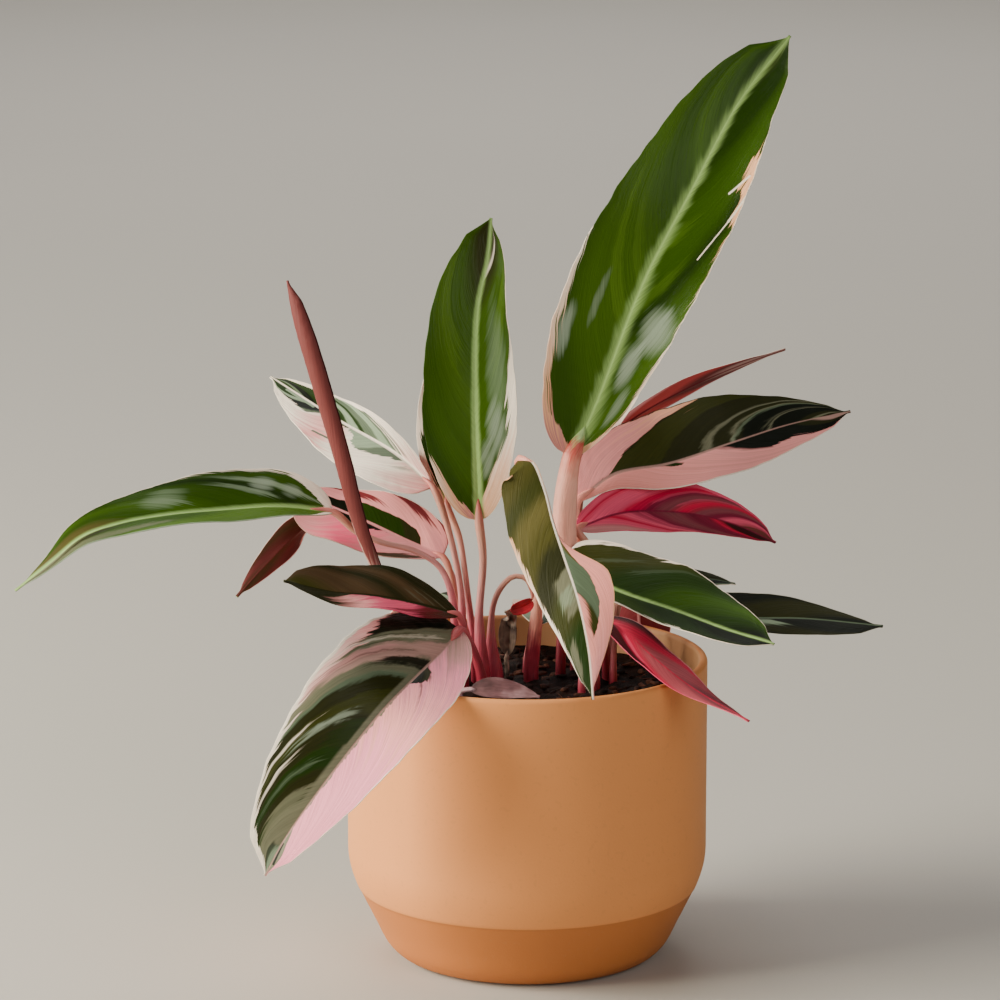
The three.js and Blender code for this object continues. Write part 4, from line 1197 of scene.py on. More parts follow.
class Paint:
    """The nodes of one material."""

    def __init__(self, name):
        self.material = bpy.data.materials.new(name)
        self.material.use_nodes = True
        self.tree = self.material.node_tree
        self.tree.nodes.clear()

    def node(self, kind, settings, sockets, out=0):
        """Adds a node, sets it up, then gives its sockets their numbers, colours or links."""
        node = self.tree.nodes.new(kind)
        for key, setting in settings.items():
            if key == "stops":
                self.set_stops(node.color_ramp, setting)
            else:
                setattr(node, key, setting)
        for key, value in sockets.items():
            if isinstance(value, Value):
                self.tree.links.new(value.socket, node.inputs[key])
            else:
                node.inputs[key].default_value = value
        return Value(self, node.outputs[out])

    def set_stops(self, ramp, stops):
        while len(ramp.elements) > 1:
            ramp.elements.remove(ramp.elements[-1])
        (ramp.elements[0].position, ramp.elements[0].color), *others = stops
        for position, colour in others:
            ramp.elements.new(position).color = colour

    def ramp(self, factor, stops):
        """A colour along factor. stops are (position, linear colour)."""
        settings = {"stops": [(position, (*colour, 1)) for position, colour in stops]}
        return self.node("ShaderNodeValToRGB", settings, {0: factor})

    def curve(self, factor, stops):
        """A number along factor, joined by straight lines. stops are (position, number)."""
        top = max(number for _, number in stops)
        greys = [(position, (number / top,) * 3) for position, number in stops]
        return self.ramp(factor, greys) * top

    def mix(self, factor, first, second, blend="MIX"):
        settings = {"data_type": "RGBA", "blend_type": blend}
        sides = [side if isinstance(side, Value) else (*side, 1) for side in (first, second)]
        return self.node("ShaderNodeMix", settings, {0: factor, 6: sides[0], 7: sides[1]}, 2)

    def apart(self, vector):
        """The first two numbers of a vector."""
        first = self.node("ShaderNodeSeparateXYZ", {}, {0: vector})
        return first, Value(self, first.socket.node.outputs[1])

    def together(self, x, y, z=0.0):
        return self.node("ShaderNodeCombineXYZ", {}, {0: x, 1: y, 2: z})

    def places(self, layer):
        return self.node("ShaderNodeUVMap", {"uv_map": layer}, {})

    def spot(self):
        """Where a point of the object is, in metres."""
        return self.node("ShaderNodeTexCoord", {}, {}, "Object")

    def noise(self, vector, scale, detail=2.0, roughness=0.5):
        sockets = {"Vector": vector, "Scale": scale, "Detail": detail, "Roughness": roughness}
        return self.node("ShaderNodeTexNoise", {}, sockets)

    def bright(self, colour, value):
        return self.node("ShaderNodeHueSaturation", {}, {"Color": colour, "Value": value})

    def bump(self, height, distance):
        return self.node("ShaderNodeBump", {}, {"Height": height, "Distance": distance, "Strength": 1.0})

    def finish(self, colour, roughness, normal=None, **constants):
        """The surface, with constants for the shader's own sockets."""
        sockets = {"Base Color": colour, "Roughness": roughness, **constants}
        if normal:
            sockets["Normal"] = normal
        surface = self.node("ShaderNodeBsdfPrincipled", {}, sockets)
        self.node_output(surface)
        return self.material

    def node_output(self, surface):
        output = self.tree.nodes.new("ShaderNodeOutputMaterial")
        self.tree.links.new(surface.socket, output.inputs["Surface"])


def tone(name):
    return linear(TONES[name])


S_LOW = -0.5  # vein places from here to S_LOW + S_SPAN are on the band ramps
S_SPAN = 1.5


def band_stops(bands, blur):
    """Ramp stops for tones that each begin at a place and hold until the next."""
    places = [(place - S_LOW) / S_SPAN for place, _ in bands]
    stops = [(0.0, tone(bands[0][1]))]
    for k in range(1, len(bands)):
        before = (places[k] - places[k - 1]) * 0.45
        after = (places[k + 1] - places[k]) * 0.45 if k + 1 < len(bands) else blur
        half = min(blur, before, after)
        stops += [(places[k] - half, tone(bands[k - 1][1])), (places[k] + half, tone(bands[k][1]))]
    return stops


def segment_mask(paint, a, b, start, end, half_width):
    """1 on a line between two points of the blade, in mm, and 0 away from it."""
    (ax, ay), (dx, dy) = start, (end[0] - start[0], end[1] - start[1])
    x, y = a - ax, b - ay
    share = paint.node("ShaderNodeClamp", {}, {0: (x * dx + y * dy) / (dx * dx + dy * dy)})
    x, y = x - share * dx, y - share * dy
    return 1 - ((x * x + y * y) ** 0.5).over(half_width * 0.5, half_width * 1.4)


# How far noise moves the markings, as shares of the midrib's length or of the half-width.
VEIN_STRAY = 0.03
RIM_STRAY = 0.3
JAG_FRAY = 0.6
PATCH_STRAY = 0.03
PATCH_FRAY = 0.5
HEM_FRAY = 0.04
# Half-breadths over which the markings end.
RIM_SOFT = 0.012
HEM_SOFT = 0.008
PATCH_SOFT_ALONG = (0.01, 0.012)
PATCH_SOFT_ACROSS = (0.06, 0.08)


def between(value, low, high, soft):
    """1 from low to high and 0 outside, with a soft end at each."""
    return value.over(low - soft[0], low + soft[0]) * (1 - value.over(high - soft[1], high + soft[1]))


def half_colour(paint, side, leaf_half, length, t, r, a, b, streak, wide, fine, cloud):
    """The colour of one half-blade."""
    s = t - vein_drift(r) * side.sweep + (fine - 0.5) * VEIN_STRAY
    banded = s + (cloud - 0.5) * side.waver
    inside = paint.ramp((banded - S_LOW) / S_SPAN, band_stops(side.bands, side.blur))
    rim = paint.ramp(t + (wide - 0.5) * RIM_STRAY, [(place, tone(name)) for place, name in side.rim])
    jag = (wide - 0.5) * side.jag + (streak - 0.5) * side.jag * JAG_FRAY
    reach = paint.curve(t, side.edge) + jag - r
    colour = paint.mix(reach.over(-RIM_SOFT, RIM_SOFT), rim, inside)
    for name, strength, s0, s1, r0, r1 in side.patches:
        out = r + (streak - 0.5) * PATCH_FRAY
        place = s + (wide - 0.5) * PATCH_STRAY
        mask = between(place, s0, s1, PATCH_SOFT_ALONG) * strength
        mask = mask * between(out, r0, r1, PATCH_SOFT_ACROSS)
        colour = paint.mix(mask, colour, tone(name))
    for name, strength, at, out, long, broad in side.spots:
        x, y = (t - at) / long, (r - out) / broad
        mask = (1.4 - x * x - y * y + (wide - 0.5) * 3).over(0.2, 0.9) * strength
        colour = paint.mix(mask, colour, tone(name))
    # Painted reflections: soft pale patches mixed into the colour where the lamps' sheen falls on the glossy
    # face
    for name, strength, at, out, long, broad in side.painted_sheens:
        x, y = (t - at) / long, (r - out) / broad
        mask = (1.1 - x * x - y * y + (wide - 0.5) * 1.6 + (streak - 0.5) * 0.7).over(-0.3, 1.2) * strength
        colour = paint.mix(mask, colour, tone(name))
    for name, t0, r0, t1, r1, half_width in side.lines:
        ends = [
            (t_end * length, r_end * leaf_half.wide * swell_at(leaf_half, t_end))
            for t_end, r_end in ((t0, r0), (t1, r1))
        ]
        mask = segment_mask(paint, a, b, *ends, half_width)
        colour = paint.mix(mask, colour, tone(name))
    name, begins = side.hem
    outside = (r + (streak - 0.5) * HEM_FRAY).over(begins - HEM_SOFT, begins + HEM_SOFT)
    return paint.mix(outside, colour, tone(name))


def swell_at(half, t):
    return float(swell(np.array([t]), half.full, half.base, half.tip)[0])


LEAF_SKIN = {"IOR": 1.42, "Specular IOR Level": 0.15}
FEATHER_LEAST = 1.2  # how far the midrib's tone spreads where a tuft is shortest, in mm


def blade_paint(name, look, leaf, seed, settings):
    """The material of one face of a blade."""
    paint = Paint(name)
    length = Spine(leaf.rib).length
    x, t = paint.apart(paint.places("blade"))
    off, along = paint.apart(paint.places("grain"))
    u = x * 2 - 1
    r = abs(u)
    a, b = along * 10, abs(off) * 10
    vein = along - vein_drift(r) * (length / 10)  # where the side vein begins, in cm
    streak = paint.noise(paint.together(vein * 7, off * 0.6, seed), 1.0, 2.0)
    wide = paint.noise(paint.together(vein * 1.7, off * 0.3, seed + 7.0), 1.0, 1.0)
    fine = paint.noise(paint.together(vein * 3, off * 4, seed + 3.0), 1.0, 2.0)
    cloud = paint.noise(paint.together(vein * 0.35, off * 0.5, seed + 9.0), 1.0, 1.0)
    left, right = (
        half_colour(paint, side, half, length, t, r, a, b, streak, wide, fine, cloud)
        for side, half in ((look.left, leaf.left), (look.right, leaf.right))
    )
    colour = paint.mix(u.over(-0.001, 0.001), left, right)
    base, tip = look.breadth
    breadth = base + (tip - base) * t
    if look.feather:
        tuft = paint.noise(paint.together(vein * 1.1, off * 0.7, seed + 11.0), 1.0, 2.0)
        spread = (0.4 + tuft.over(0.3, 0.75) * 0.6) * (1 - t * 0.5) * look.feather + FEATHER_LEAST
        fall = (1 - (b - breadth) / spread).over(0, 1)  # 1 at the midrib, 0 where the tuft ends
        feather = fall * fall * (0.35 + streak * 0.7)
        colour = paint.mix(feather, colour, tone(look.midrib))
    colour = paint.mix((breadth - b).over(-0.35, 0.25) * 0.9, colour, tone(look.midrib))
    colour = paint.bright(colour, 1 + (streak - 0.5) * look.streak * 2 + (wide - 0.5) * look.streak)
    roughness = look.gloss * settings.gloss + (fine - 0.5) * 0.12
    height = streak * 0.6 + fine * 0.4
    normal = paint.bump(height, settings.vein_relief)
    return paint.finish(colour, roughness, normal, **LEAF_SKIN)


RED_STALK = ((0, 0x3E0E14), (0.08, 0x6C1426), (0.2, 0xA42E44), (0.36, 0xBE5868), (0.5, 0xC47C7C),
    (0.85, 0xCE947F),
    (1, 0xC8605C))
SHORT_STALK = ((0, 0x3E0E14), (0.1, 0x641222), (0.3, 0x8C2438), (0.6, 0xA83E4C), (0.85, 0xBE5C64),
    (1, 0xC8605C))
PALE_STALK = ((0, 0x3E0E14), (0.08, 0x7A182E), (0.2, 0xB84458), (0.34, 0xFAB09C), (0.8, 0xFFB8A2),
    (0.91, 0xEE9886),
    (1, 0xE89C8C))
TALL_STALK = (*PALE_STALK[:-2], (0.88, 0xE88C78), (0.93, 0xC04438), (0.955, 0xA8C480), (1, 0xA8C480))
STALKS = {
    "leaf_tall_right": TALL_STALK,
    "leaf_wide_right": PALE_STALK,
    "leaf_front_centre": PALE_STALK,
    "leaf_front_left": SHORT_STALK,
    "leaf_low_left": SHORT_STALK,
}


DEAD = {
    "leaf_withered": (0xA81424, 0xD81C34, 0xB0182A, 0x6A1016),
    # The pale tones of leaf_dead_upright partly stand for painted highlights on its curled edges; the rest is
    # its dry brown.
    "leaf_dead_upright": (0x1E1610, 0x8E7A6A, 0x2A1A16, 0xB8A492, 0x33241C),
    "leaf_dead_fallen": (0x46282C, 0x664244, 0x865C60, 0xB89094, 0xDCC0C6),
}


def stalk_paint(name, tones, settings):
    """A dark streaked sheath near the soil, a paler stem, and a red knee at the blade."""
    paint = Paint(name)
    _, s = paint.apart(paint.places("blade"))
    round_cm, along = paint.apart(paint.places("grain"))
    streak = paint.noise(paint.together(round_cm * 14, along * 0.8), 1.0, 2.0)
    patch = paint.noise(paint.together(round_cm * 2, along * 1.5, 4.0), 1.0, 1.0)
    stops = [(at, linear(code)) for at, code in tones]
    colour = paint.ramp(s + (patch - 0.5) * 0.12 + (streak - 0.5) * 0.1, stops)
    colour = paint.bright(colour, 0.72 + streak * 0.56)
    return paint.finish(colour, 0.42 + (patch - 0.5) * 0.15, paint.bump(streak, settings.vein_relief))


def dead_paint(name, tones, seed, settings):
    """Dry leaf: blotched tones with dark streaks."""
    paint = Paint(name)
    _, t = paint.apart(paint.places("blade"))
    off, along = paint.apart(paint.places("grain"))
    streak = paint.noise(paint.together(along * 1.2, off * 9, seed), 1.0, 3.0)
    patch = paint.noise(paint.together(along * 1.1, off * 1.4, seed + 5.0), 1.0, 2.0)
    stops = [(i / (len(tones) - 1), linear(code)) for i, code in enumerate(tones)]
    colour = paint.ramp(t * 0.7 + (patch - 0.5) * 1.1 + 0.1, stops)
    colour = paint.bright(colour, 0.6 + streak * 0.8)
    return paint.finish(colour, 0.6 + (patch - 0.5) * 0.3, paint.bump(streak, settings.vein_relief * 2))


POT_SKIN = {"IOR": 1.45, "Specular IOR Level": 0.3}
SOIL_SKIN = {"Specular IOR Level": 0.15}
BARK_TONES = ((0.3, 0x120C0A), (0.47, 0x301C16), (0.58, 0x603A2B), (0.7, 0x241612))


def pot_paint(settings):
    """Matt coloured ceramic with soft mottling and fine specks, and below the crease a darker tone that is
    painted shade on the downward-facing foot.
    """
    paint = Paint("pot_ceramic")
    spot = paint.spot()
    cloud = paint.noise(spot, 14.0, 3.0)
    grain = paint.noise(spot, 900.0, 2.0)
    speck = paint.noise(spot, 420.0, 0.0).over(0.7, 0.76)
    height = paint.node("ShaderNodeSeparateXYZ", {}, {0: spot}, 2)
    # Below the crease the foot gets a darker colour: painted shade, since the foot faces down and away from
    # the lamps.
    wall = height.over((CREASE - CREASE_BLUR) * MM, (CREASE + CREASE_BLUR) * MM)
    colour = paint.mix(wall, tuple(settings.shaded_foot), tuple(settings.glaze))
    x, y = paint.apart(spot)
    inner = 1 - (x * x + y * y).over(INSIDE_SPREAD[0] ** 2, INSIDE_SPREAD[1] ** 2)
    inner = inner * height.over(*INSIDE_START)
    colour = paint.mix(inner, colour, tuple(settings.inside))
    colour = paint.bright(colour, 0.95 + cloud * 0.1)
    colour = paint.mix(speck * settings.speckle, colour, tuple(settings.speck))
    roughness = 0.6 + (cloud - 0.5) * 0.12
    return paint.finish(colour, roughness, paint.bump(grain, 0.00006), **POT_SKIN)


def peat_paint(settings):
    """Dark damp peat."""
    paint = Paint("soil_peat")
    spot = paint.spot()
    crumb = paint.noise(spot, 260.0, 4.0, 0.65)
    patch = paint.noise(spot, 45.0, 2.0)
    low, high = tuple(settings.peat), tuple(settings.dust)
    colour = paint.mix((crumb * 0.7 + patch * 0.5).over(0.45, 0.85), low, high)
    return paint.finish(colour, 0.9 - patch * 0.2, paint.bump(crumb, 0.0012), **SOIL_SKIN)


def bark_paint():
    """Bits of bark, from nearly black to reddish brown."""
    paint = Paint("soil_bark")
    spot = paint.spot()
    bit = paint.noise(spot, 70.0, 1.0)
    grain = paint.noise(spot, 380.0, 3.0, 0.6)
    stops = [(at, linear(code)) for at, code in BARK_TONES]
    colour = paint.ramp(bit + (grain - 0.5) * 0.2, stops)
    return paint.finish(colour, 0.85 - bit * 0.2, paint.bump(grain, 0.0008), **SOIL_SKIN)


# ---- Pot and soil forms, in millimetres ----

POT_CONE = [(0, 0), (30, 0), (59, 0), (62, 0.4), (66, 2.2), (70.5, 6.5), (73, 10.5), (76, 16.9), (79, 23),
    (82, 29.1),
    (85, 35.3)]
POT_WALL = [(85.5, 35.8), (86.4, 38), (87.7, 41.6), (88.8, 45.4), (89.6, 49.6), (90, 54), (90, 60), (90, 105),
    (90, 149)]
CREASE = 35.6
CREASE_BLUR = 0.4
INSIDE_SPREAD = (0.0862, 0.0868)  # distances from the axis over which the inside's tone ends, in metres
INSIDE_START = (0.06, 0.061)  # heights over which it begins, in metres
POT_INSIDE = [(85.5, 149), (85.5, 100), (85.5, 56), (81, 41), (70, 14), (64, 8), (58, 7), (0, 7)]
RIM_MIDDLE = 87.75
RIM_HALF = 2.25
RIM_Z = 150
RIM_STEPS = 12
RIM_HEIGHT = 2
POT_SIDES = 180
POT_STEPS = 60
WALL_INSIDE = 85.5
SEAT = 0.3
SOIL_RINGS = 64
SOIL_SIDES = 150
SOIL_DEPTH = 40  # the soil piece ends this far below its top
CRUMB_SEED = 11
CHIPS = 330
TWIGS = 26
CHIP_REACH = 81  # how far from the axis bits of bark and twigs lie
CHIP_RINGS = ((-1, 0.55), (-0.35, 1), (0.4, 1), (1, 0.6))  # places along a chip, and its width there
CHIP_SIDES = 6
TWIG_RINGS = 7
TWIG_SIDES = 5
STEM_ROOM = 2.5
SOIL_RELIEF = 2.6
CRUMB_HEIGHT = 1.1


def lathe(profile, sides):
    """Vertices and faces of a closed turned body whose profile starts and ends on the axis."""
    vertices = [(0, 0, profile[0][1])]
    for radius, z in profile[1:-1]:
        for k in range(sides):
            angle = 2 * math.pi * k / sides
            vertices.append((radius * math.cos(angle), radius * math.sin(angle), z))
    vertices.append((0, 0, profile[-1][1]))
    last = len(vertices) - 1
    faces = []
    for k in range(sides):
        after = (k + 1) % sides
        faces.append((0, 1 + after, 1 + k))
        for ring in range(len(profile) - 3):
            a = 1 + ring * sides
            faces.append((a + k, a + after, a + sides + after, a + sides + k))
        a = last - sides
        faces.append((a + k, a + after, last))
    return vertices, faces


def pot_profile():
    profile = []
    for part in (POT_CONE, POT_WALL):
        outside = Spine([(x, 0, z) for x, z in part]).at(np.linspace(0, 1, POT_STEPS))
        profile += [(x, max(0, z)) for x, _, z in outside]
    for k in range(RIM_STEPS + 1):
        angle = math.pi * k / RIM_STEPS
        profile.append((RIM_MIDDLE + RIM_HALF * math.cos(angle), RIM_Z + RIM_HEIGHT * math.sin(angle)))
    return profile + POT_INSIDE


def soil_height(x, y):
    """The soil's top without its crumbs, which the stems and the dead leaves stand on."""
    edge = 1 - min(1, math.hypot(x, y) / WALL_INSIDE) ** 4
    waves = 0.5 * math.sin(0.11 * x + 1.3) * math.cos(0.13 * y) + 0.35 * math.sin(0.31 * x - 0.2 * y)
    waves += 0.3 * math.cos(0.27 * y + 0.36 * x + 2)
    return SOIL_TOP + SOIL_RELIEF * waves * edge


def crumbs(x, y):
    """The fine relief of the peat."""
    place = Vector((x, y, 0))
    coarse = noise.noise(place * 0.16) + 0.6 * noise.noise(place * 0.37) + 0.4 * noise.noise(place * 0.8)
    return CRUMB_HEIGHT * coarse


def soil_body():
    outer = WALL_INSIDE - SEAT
    profile = [(outer * (ring / SOIL_RINGS) ** 0.8, None) for ring in range(SOIL_RINGS + 1)]
    profile += [(outer, SOIL_TOP - SOIL_DEPTH), (0, SOIL_TOP - SOIL_DEPTH)]
    vertices, faces = lathe([(r, z or 0) for r, z in profile], SOIL_SIDES)
    top = 1 + SOIL_RINGS * SOIL_SIDES
    vertices = [(x, y, soil_height(x, y) + crumbs(x, y) if i < top else z) for i,
        (x, y, z) in enumerate(vertices)]
    return vertices, [face[::-1] for face in faces]


def free_spot(rng, stems):
    """A place on the soil that is clear of the stems."""
    while True:
        angle, r = rng.uniform(0, 2 * math.pi), CHIP_REACH * math.sqrt(rng.random())
        x, y = r * math.cos(angle), r * math.sin(angle)
        if all(math.hypot(x - a, y - b) > radius + STEM_ROOM for a, b, radius in stems):
            return x, y


def tube_faces(rings, sides):
    """Faces of a closed tube whose vertices come ring by ring."""
    faces = []
    for ring in range(rings - 1):
        for k in range(sides):
            a, b = ring * sides + k, ring * sides + (k + 1) % sides
            faces.append((a, b, b + sides, a + sides))
    last = (rings - 1) * sides
    return [*faces, tuple(range(sides - 1, -1, -1)), tuple(range(last, last + sides))]


def chip(rng, x, y):
    """A rough bit of bark lying on the soil: vertices and faces."""
    size = Vector((rng.uniform(1.2, 4.2), rng.uniform(0.9, 2.4), rng.uniform(0.5, 1.5)))
    turn = Matrix.Rotation(rng.uniform(0, math.pi), 3, "Z") @ Matrix.Rotation(rng.uniform(-0.5, 0.5), 3, "X")
    centre = Vector((x, y, soil_height(x, y) + crumbs(x, y) + size.z * 0.25))
    vertices = []
    for level, wide in CHIP_RINGS:
        for k in range(CHIP_SIDES):
            angle = 2 * math.pi * k / CHIP_SIDES
            jitter = rng.uniform(0.75, 1.2)
            point = Vector((level, math.cos(angle) * wide * jitter, math.sin(angle) * wide * jitter))
            vertices.append(centre + turn @ Vector(a * b for a, b in zip(point, size)))
    return vertices, tube_faces(len(CHIP_RINGS), CHIP_SIDES)


def twig(rng, x, y):
    """A thin curved fibre lying on the soil."""
    length, angle, bend = rng.uniform(6, 20), rng.uniform(0, 2 * math.pi), rng.uniform(-0.6, 0.6)
    radius = rng.uniform(0.25, 0.6)
    vertices = []
    for i in range(TWIG_RINGS):
        w = i / (TWIG_RINGS - 1)
        heading = angle + bend * w
        px, py = x + length * w * math.cos(heading), y + length * w * math.sin(heading)
        inward = min(1, CHIP_REACH / math.hypot(px, py))
        px, py = px * inward, py * inward
        z = soil_height(px, py) + crumbs(px, py) + radius * 0.6
        out = radius * (1 - 0.5 * w)
        for k in range(TWIG_SIDES):
            turn = 2 * math.pi * k / TWIG_SIDES
            across, up = out * math.cos(turn), out * math.sin(turn)
            vertices.append((px - across * math.sin(heading), py + across * math.cos(heading), z + up))
    return vertices, tube_faces(TWIG_RINGS, TWIG_SIDES)


# ---- Settings ----


class LeafSettings(bpy.types.PropertyGroup):
    """Finish of the leaves and stalks."""

    vein_relief: FloatProperty(name="Vein relief",
        description="Height of the fine lines on leaves and stalks",
        default=0.0003, min=0, subtype="DISTANCE", unit="LENGTH")
    gloss: FloatProperty(name="Roughness factor", description="Makes all the leaves glossier or duller",
        default=1.0, min=0.2, max=2.5, subtype="FACTOR")


class PotSettings(bpy.types.PropertyGroup):
    """Finish of the pot."""

    glaze: FloatVectorProperty(name="Ceramic", description="Colour of the pot",
        default=(0.73, 0.285, 0.088), min=0,
        max=1, subtype="COLOR")
    # The foot's darker colour is painted shade on the downward-facing slope.
    shaded_foot: FloatVectorProperty(name="Sloping foot", description="Colour of the pot below its crease",
        default=(0.49, 0.165, 0.042), min=0, max=1, subtype="COLOR")
    inside: FloatVectorProperty(name="Inside", description="Colour of the pot's inner wall",
        default=(0.6, 0.31, 0.15), min=0, max=1, subtype="COLOR")
    speck: FloatVectorProperty(name="Specks", description="Colour of the pot's fine specks",
        default=linear(0xB57C4E), min=0, max=1, subtype="COLOR")
    speckle: FloatProperty(name="Speckle", description="How strongly the specks show", default=0.12, min=0,
        max=1,
        subtype="FACTOR")


class SoilSettings(bpy.types.PropertyGroup):
    """Finish of the soil."""

    peat: FloatVectorProperty(name="Peat", description="Colour of damp peat", default=linear(0x130B09), min=0,
        max=1, subtype="COLOR")
    dust: FloatVectorProperty(name="Dry peat", description="Colour of the drier crumbs",
        default=linear(0x2C1B14),
        min=0, max=1, subtype="COLOR")
    chips: IntProperty(name="Bark chips", description="Number of bits of bark", default=CHIPS, min=0,
        max=2000)


class StageSettings(bpy.types.PropertyGroup):
    """Camera and light."""

    lens: FloatProperty(name="Lens", description="Focal length of the camera", default=171, min=10, max=500,
        unit="CAMERA")
    floor: FloatVectorProperty(name="Floor", description="Colour of floor and backdrop",
        default=(0.5, 0.47, 0.42),
        min=0, max=1, subtype="COLOR")
    key: FloatProperty(name="Main light", description="Power of the large light from the left",
        default=130, min=0,
        subtype="POWER", unit="POWER")
    fill: FloatProperty(name="Fill light", description="Power of the large light from the front", default=25,
        min=0, subtype="POWER", unit="POWER")
    top: FloatProperty(name="Top light", description="Power of the light from above", default=60, min=0,
        subtype="POWER", unit="POWER")
    behind: FloatProperty(name="Floor light", description="Power of the light on the floor behind",
        default=50,
        min=0, subtype="POWER", unit="POWER")
    beside: FloatProperty(name="Side floor light", description="Power of the light on the floor at the left",
        default=180, min=0, subtype="POWER", unit="POWER")
    ambient: FloatProperty(name="Ambient", description="Strength of the even light all round",
        default=0.05, min=0)


# ---- Camera and stage ----

CAMERA_PLACE = (-0.0136, -2.303, 0.7252)
CAMERA_PITCH = 12.1  # degrees below the horizon
SENSOR = 36
STAGE_RADIUS = 14000
STAGE_SIDES = 96
STAGE_DROP = 0.4  # the floor lies this far below the pot, so that the two don't flicker


# ---- Operators ----


class PLANT_OT_make_pot(bpy.types.Operator):
    """Turn the ceramic pot with its sloping foot and rounded rim"""

    bl_idname = "plant.make_pot"
    bl_label = "Make the pot"

    def execute(self, context):
        vertices, faces = lathe(pot_profile(), POT_SIDES)
        piece = make_object("pot_fine", vertices, faces, (), [pot_paint(context.scene.plant_pot)])
        place_piece(piece, ["pot"])
        return {"FINISHED"}


class PLANT_OT_make_soil(bpy.types.Operator):
    """Fill the pot with peat, and scatter bits of bark and fibres on it"""

    bl_idname = "plant.make_soil"
    bl_label = "Make the soil"

    def execute(self, context):
        settings = context.scene.plant_soil
        rng = random.Random(CRUMB_SEED)
        stems = [(*leaf.stem[0][:2], leaf.thick[0]) for leaf in LEAVES]
        vertices, faces = soil_body()
        peat = make_object("soil_fine", vertices, faces, (), [peat_paint(settings)])
        place_piece(peat, ["soil"])
        vertices, faces = [], []
        bits = [chip(rng, *free_spot(rng, stems)) for _ in range(settings.chips)]
        bits += [twig(rng, *free_spot(rng, stems)) for _ in range(TWIGS)]
        for bit_vertices, bit_faces in bits:
            start = len(vertices)
            vertices += [tuple(v) for v in bit_vertices]
            faces += [tuple(start + v for v in face) for face in bit_faces]
        bark = make_object("soil_bark", vertices, faces, (), [bark_paint()])
        place_piece(bark)
        return {"FINISHED"}


class PLANT_OT_make_leaves(bpy.types.Operator):
    """Make the living leaves, each with its markings, ribs and stalk"""

    bl_idname = "plant.make_leaves"
    bl_label = "Make the leaves"

    def execute(self, context):
        settings = context.scene.plant_leaf
        red = stalk_paint("stalk_red", RED_STALK, settings)
        for number, leaf in enumerate(LEAVES):
            if leaf.name in DEAD:
                continue
            seed = number * 13.7
            upper = blade_paint(leaf.name + "_upper", UPPER[leaf.name], leaf, seed, settings)
            under_look = UNDER.get(leaf.name, PLAIN_UNDER)
            under = blade_paint(leaf.name + "_under", under_look, leaf, seed + 5, settings)
            stalk = red
            if leaf.name in STALKS:
                stalk = stalk_paint(leaf.name + "_stalk", STALKS[leaf.name], settings)
            place_piece(leaf_object(leaf, [upper, under, stalk]), [leaf.name])
        return {"FINISHED"}


class PLANT_OT_make_dead_leaves(bpy.types.Operator):
    """Make the withered and fallen leaves"""

    bl_idname = "plant.make_dead_leaves"
    bl_label = "Make the dead leaves"

    def execute(self, context):
        settings = context.scene.plant_leaf
        stalk = stalk_paint("stalk_withered", RED_STALK, settings)
        for number, leaf in enumerate(leaf for leaf in LEAVES if leaf.name in DEAD):
            dry = dead_paint(leaf.name + "_dry", DEAD[leaf.name], number * 3.1, settings)
            stem = stalk if leaf.name == "leaf_withered" else dry
            place_piece(leaf_object(leaf, [dry, dry, stem]), [leaf.name])
        return {"FINISHED"}


def area_light(name, energy, size, place, aim, colour):
    light = bpy.data.lights.new(name, "AREA")
    light.energy, light.size, light.color = energy, size, colour
    lamp = bpy.data.objects.new(name, light)
    lamp.location = place
    lamp.rotation_euler = (Vector(aim) - Vector(place)).to_track_quat("-Z", "Y").to_euler()
    bpy.context.collection.objects.link(lamp)


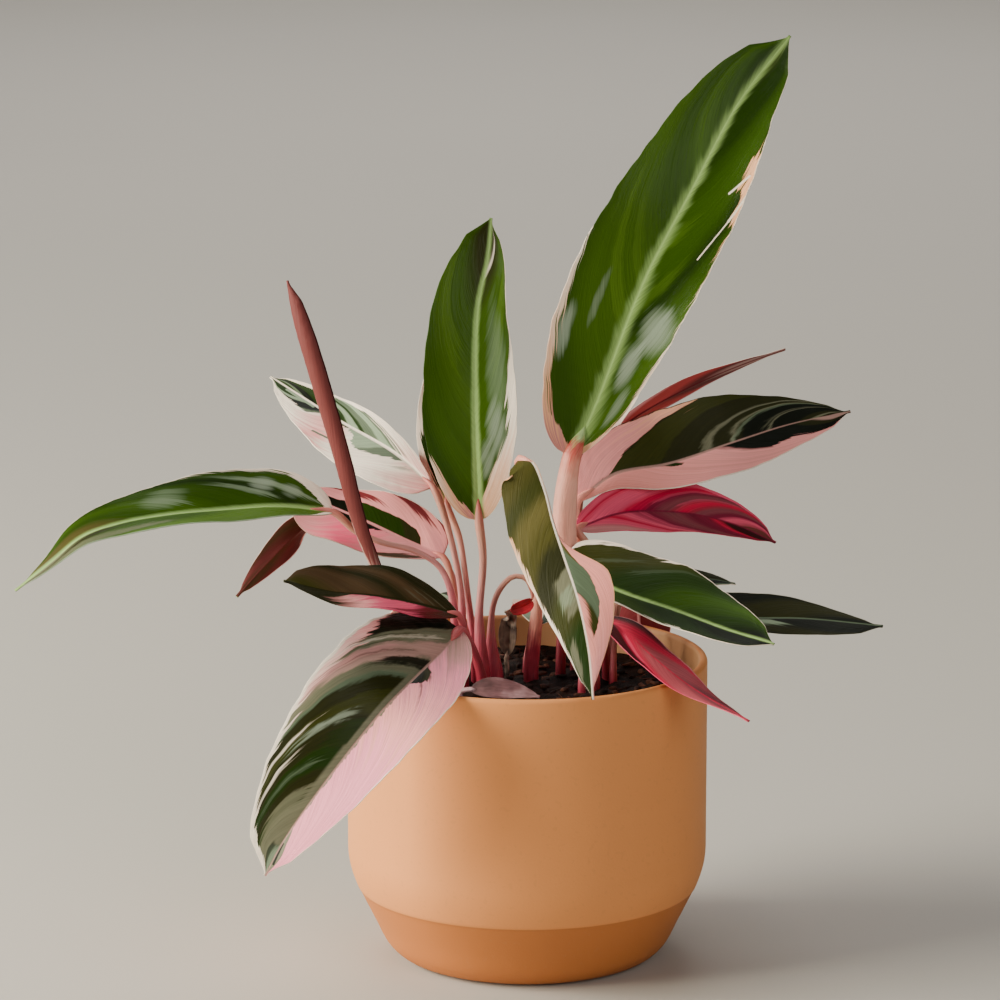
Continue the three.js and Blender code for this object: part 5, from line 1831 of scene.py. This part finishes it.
class PLANT_OT_make_stage(bpy.types.Operator):
    """Set up the floor, the soft light and the camera"""

    bl_idname = "plant.make_stage"
    bl_label = "Make the stage"

    def execute(self, context):
        settings = context.scene.plant_stage
        rim = [2 * math.pi * k / STAGE_SIDES for k in range(STAGE_SIDES)]
        vertices = [(STAGE_RADIUS * math.cos(a), STAGE_RADIUS * math.sin(a), -STAGE_DROP) for a in rim]
        faces = [tuple(range(STAGE_SIDES))]
        paint = Paint("stage_paper")
        cloud = paint.noise(paint.spot(), 1.5, 2.0)
        colour = paint.bright((*settings.floor, 1.0), 0.98 + cloud * 0.04)
        material = paint.finish(colour, 0.9 + cloud * 0.05)
        floor = make_object("stage_floor", vertices, faces, (), [material])
        middle = (0, 0, 0.2)
        area_light("light_key", settings.key, 1.5, (-2.0, -0.45, 0.85), middle, (1, 0.95, 0.79))
        area_light("light_fill", settings.fill, 1.6, (1.2, -2.1, 1.3), middle, (1, 0.97, 0.93))
        area_light("light_top", settings.top, 2.6, (-0.3, 1.6, 3.6), middle, (1, 0.98, 0.95))
        area_light("light_behind", settings.behind, 2.2, (0, 3.8, 2.4), (0, 4.2, 0), (1, 0.98, 0.95))
        area_light("light_beside", settings.beside, 3.0, (-4.6, 0, 2.8), (-5.0, 0, 0), (1, 0.98, 0.95))
        world = bpy.data.worlds.new("stage_world")
        world.use_nodes = True
        background = world.node_tree.nodes["Background"]
        background.inputs["Color"].default_value = (0.9, 0.92, 0.95, 1)
        background.inputs["Strength"].default_value = settings.ambient
        context.scene.world = world
        camera = bpy.data.cameras.new("camera")
        camera.lens, camera.sensor_width = settings.lens, SENSOR
        holder = bpy.data.objects.new("camera", camera)
        holder.location = CAMERA_PLACE
        holder.rotation_euler = (math.radians(90 - CAMERA_PITCH), 0, 0)
        context.collection.objects.link(holder)
        context.scene.camera = holder
        return {"FINISHED"}


class PLANT_PT_sidebar(bpy.types.Panel):
    """Sizes, colours and makers of the plant"""

    bl_idname = "PLANT_PT_sidebar"
    bl_label = "Prayer plant"
    bl_space_type = "VIEW_3D"
    bl_region_type = "UI"
    bl_category = "Prayer plant"

    def draw(self, context):
        for group, operators in (
            ("plant_pot", ("plant.make_pot",)),
            ("plant_soil", ("plant.make_soil",)),
            ("plant_leaf", ("plant.make_leaves", "plant.make_dead_leaves")),
            ("plant_stage", ("plant.make_stage",)),
        ):
            box = self.layout.box()
            settings = getattr(context.scene, group)
            for name in settings.bl_rna.properties.keys():
                if name not in ("rna_type", "name"):
                    box.prop(settings, name)
            for operator in operators:
                box.operator(operator)


SETTINGS = {
    "plant_leaf": LeafSettings,
    "plant_pot": PotSettings,
    "plant_soil": SoilSettings,
    "plant_stage": StageSettings,
}
CLASSES = (
    *SETTINGS.values(),
    PLANT_OT_make_pot,
    PLANT_OT_make_soil,
    PLANT_OT_make_leaves,
    PLANT_OT_make_dead_leaves,
    PLANT_OT_make_stage,
    PLANT_PT_sidebar,
)


def register():
    for cls in CLASSES:
        bpy.utils.register_class(cls)
    for name, group in SETTINGS.items():
        setattr(bpy.types.Scene, name, PointerProperty(type=group))


def unregister():
    for name in SETTINGS:
        delattr(bpy.types.Scene, name)
    for cls in reversed(CLASSES):
        bpy.utils.unregister_class(cls)


def main():
    register()
    bpy.ops.plant.make_stage()
    bpy.ops.plant.make_pot()
    bpy.ops.plant.make_soil()
    bpy.ops.plant.make_leaves()
    bpy.ops.plant.make_dead_leaves()


if __name__ == "__main__":
    main()
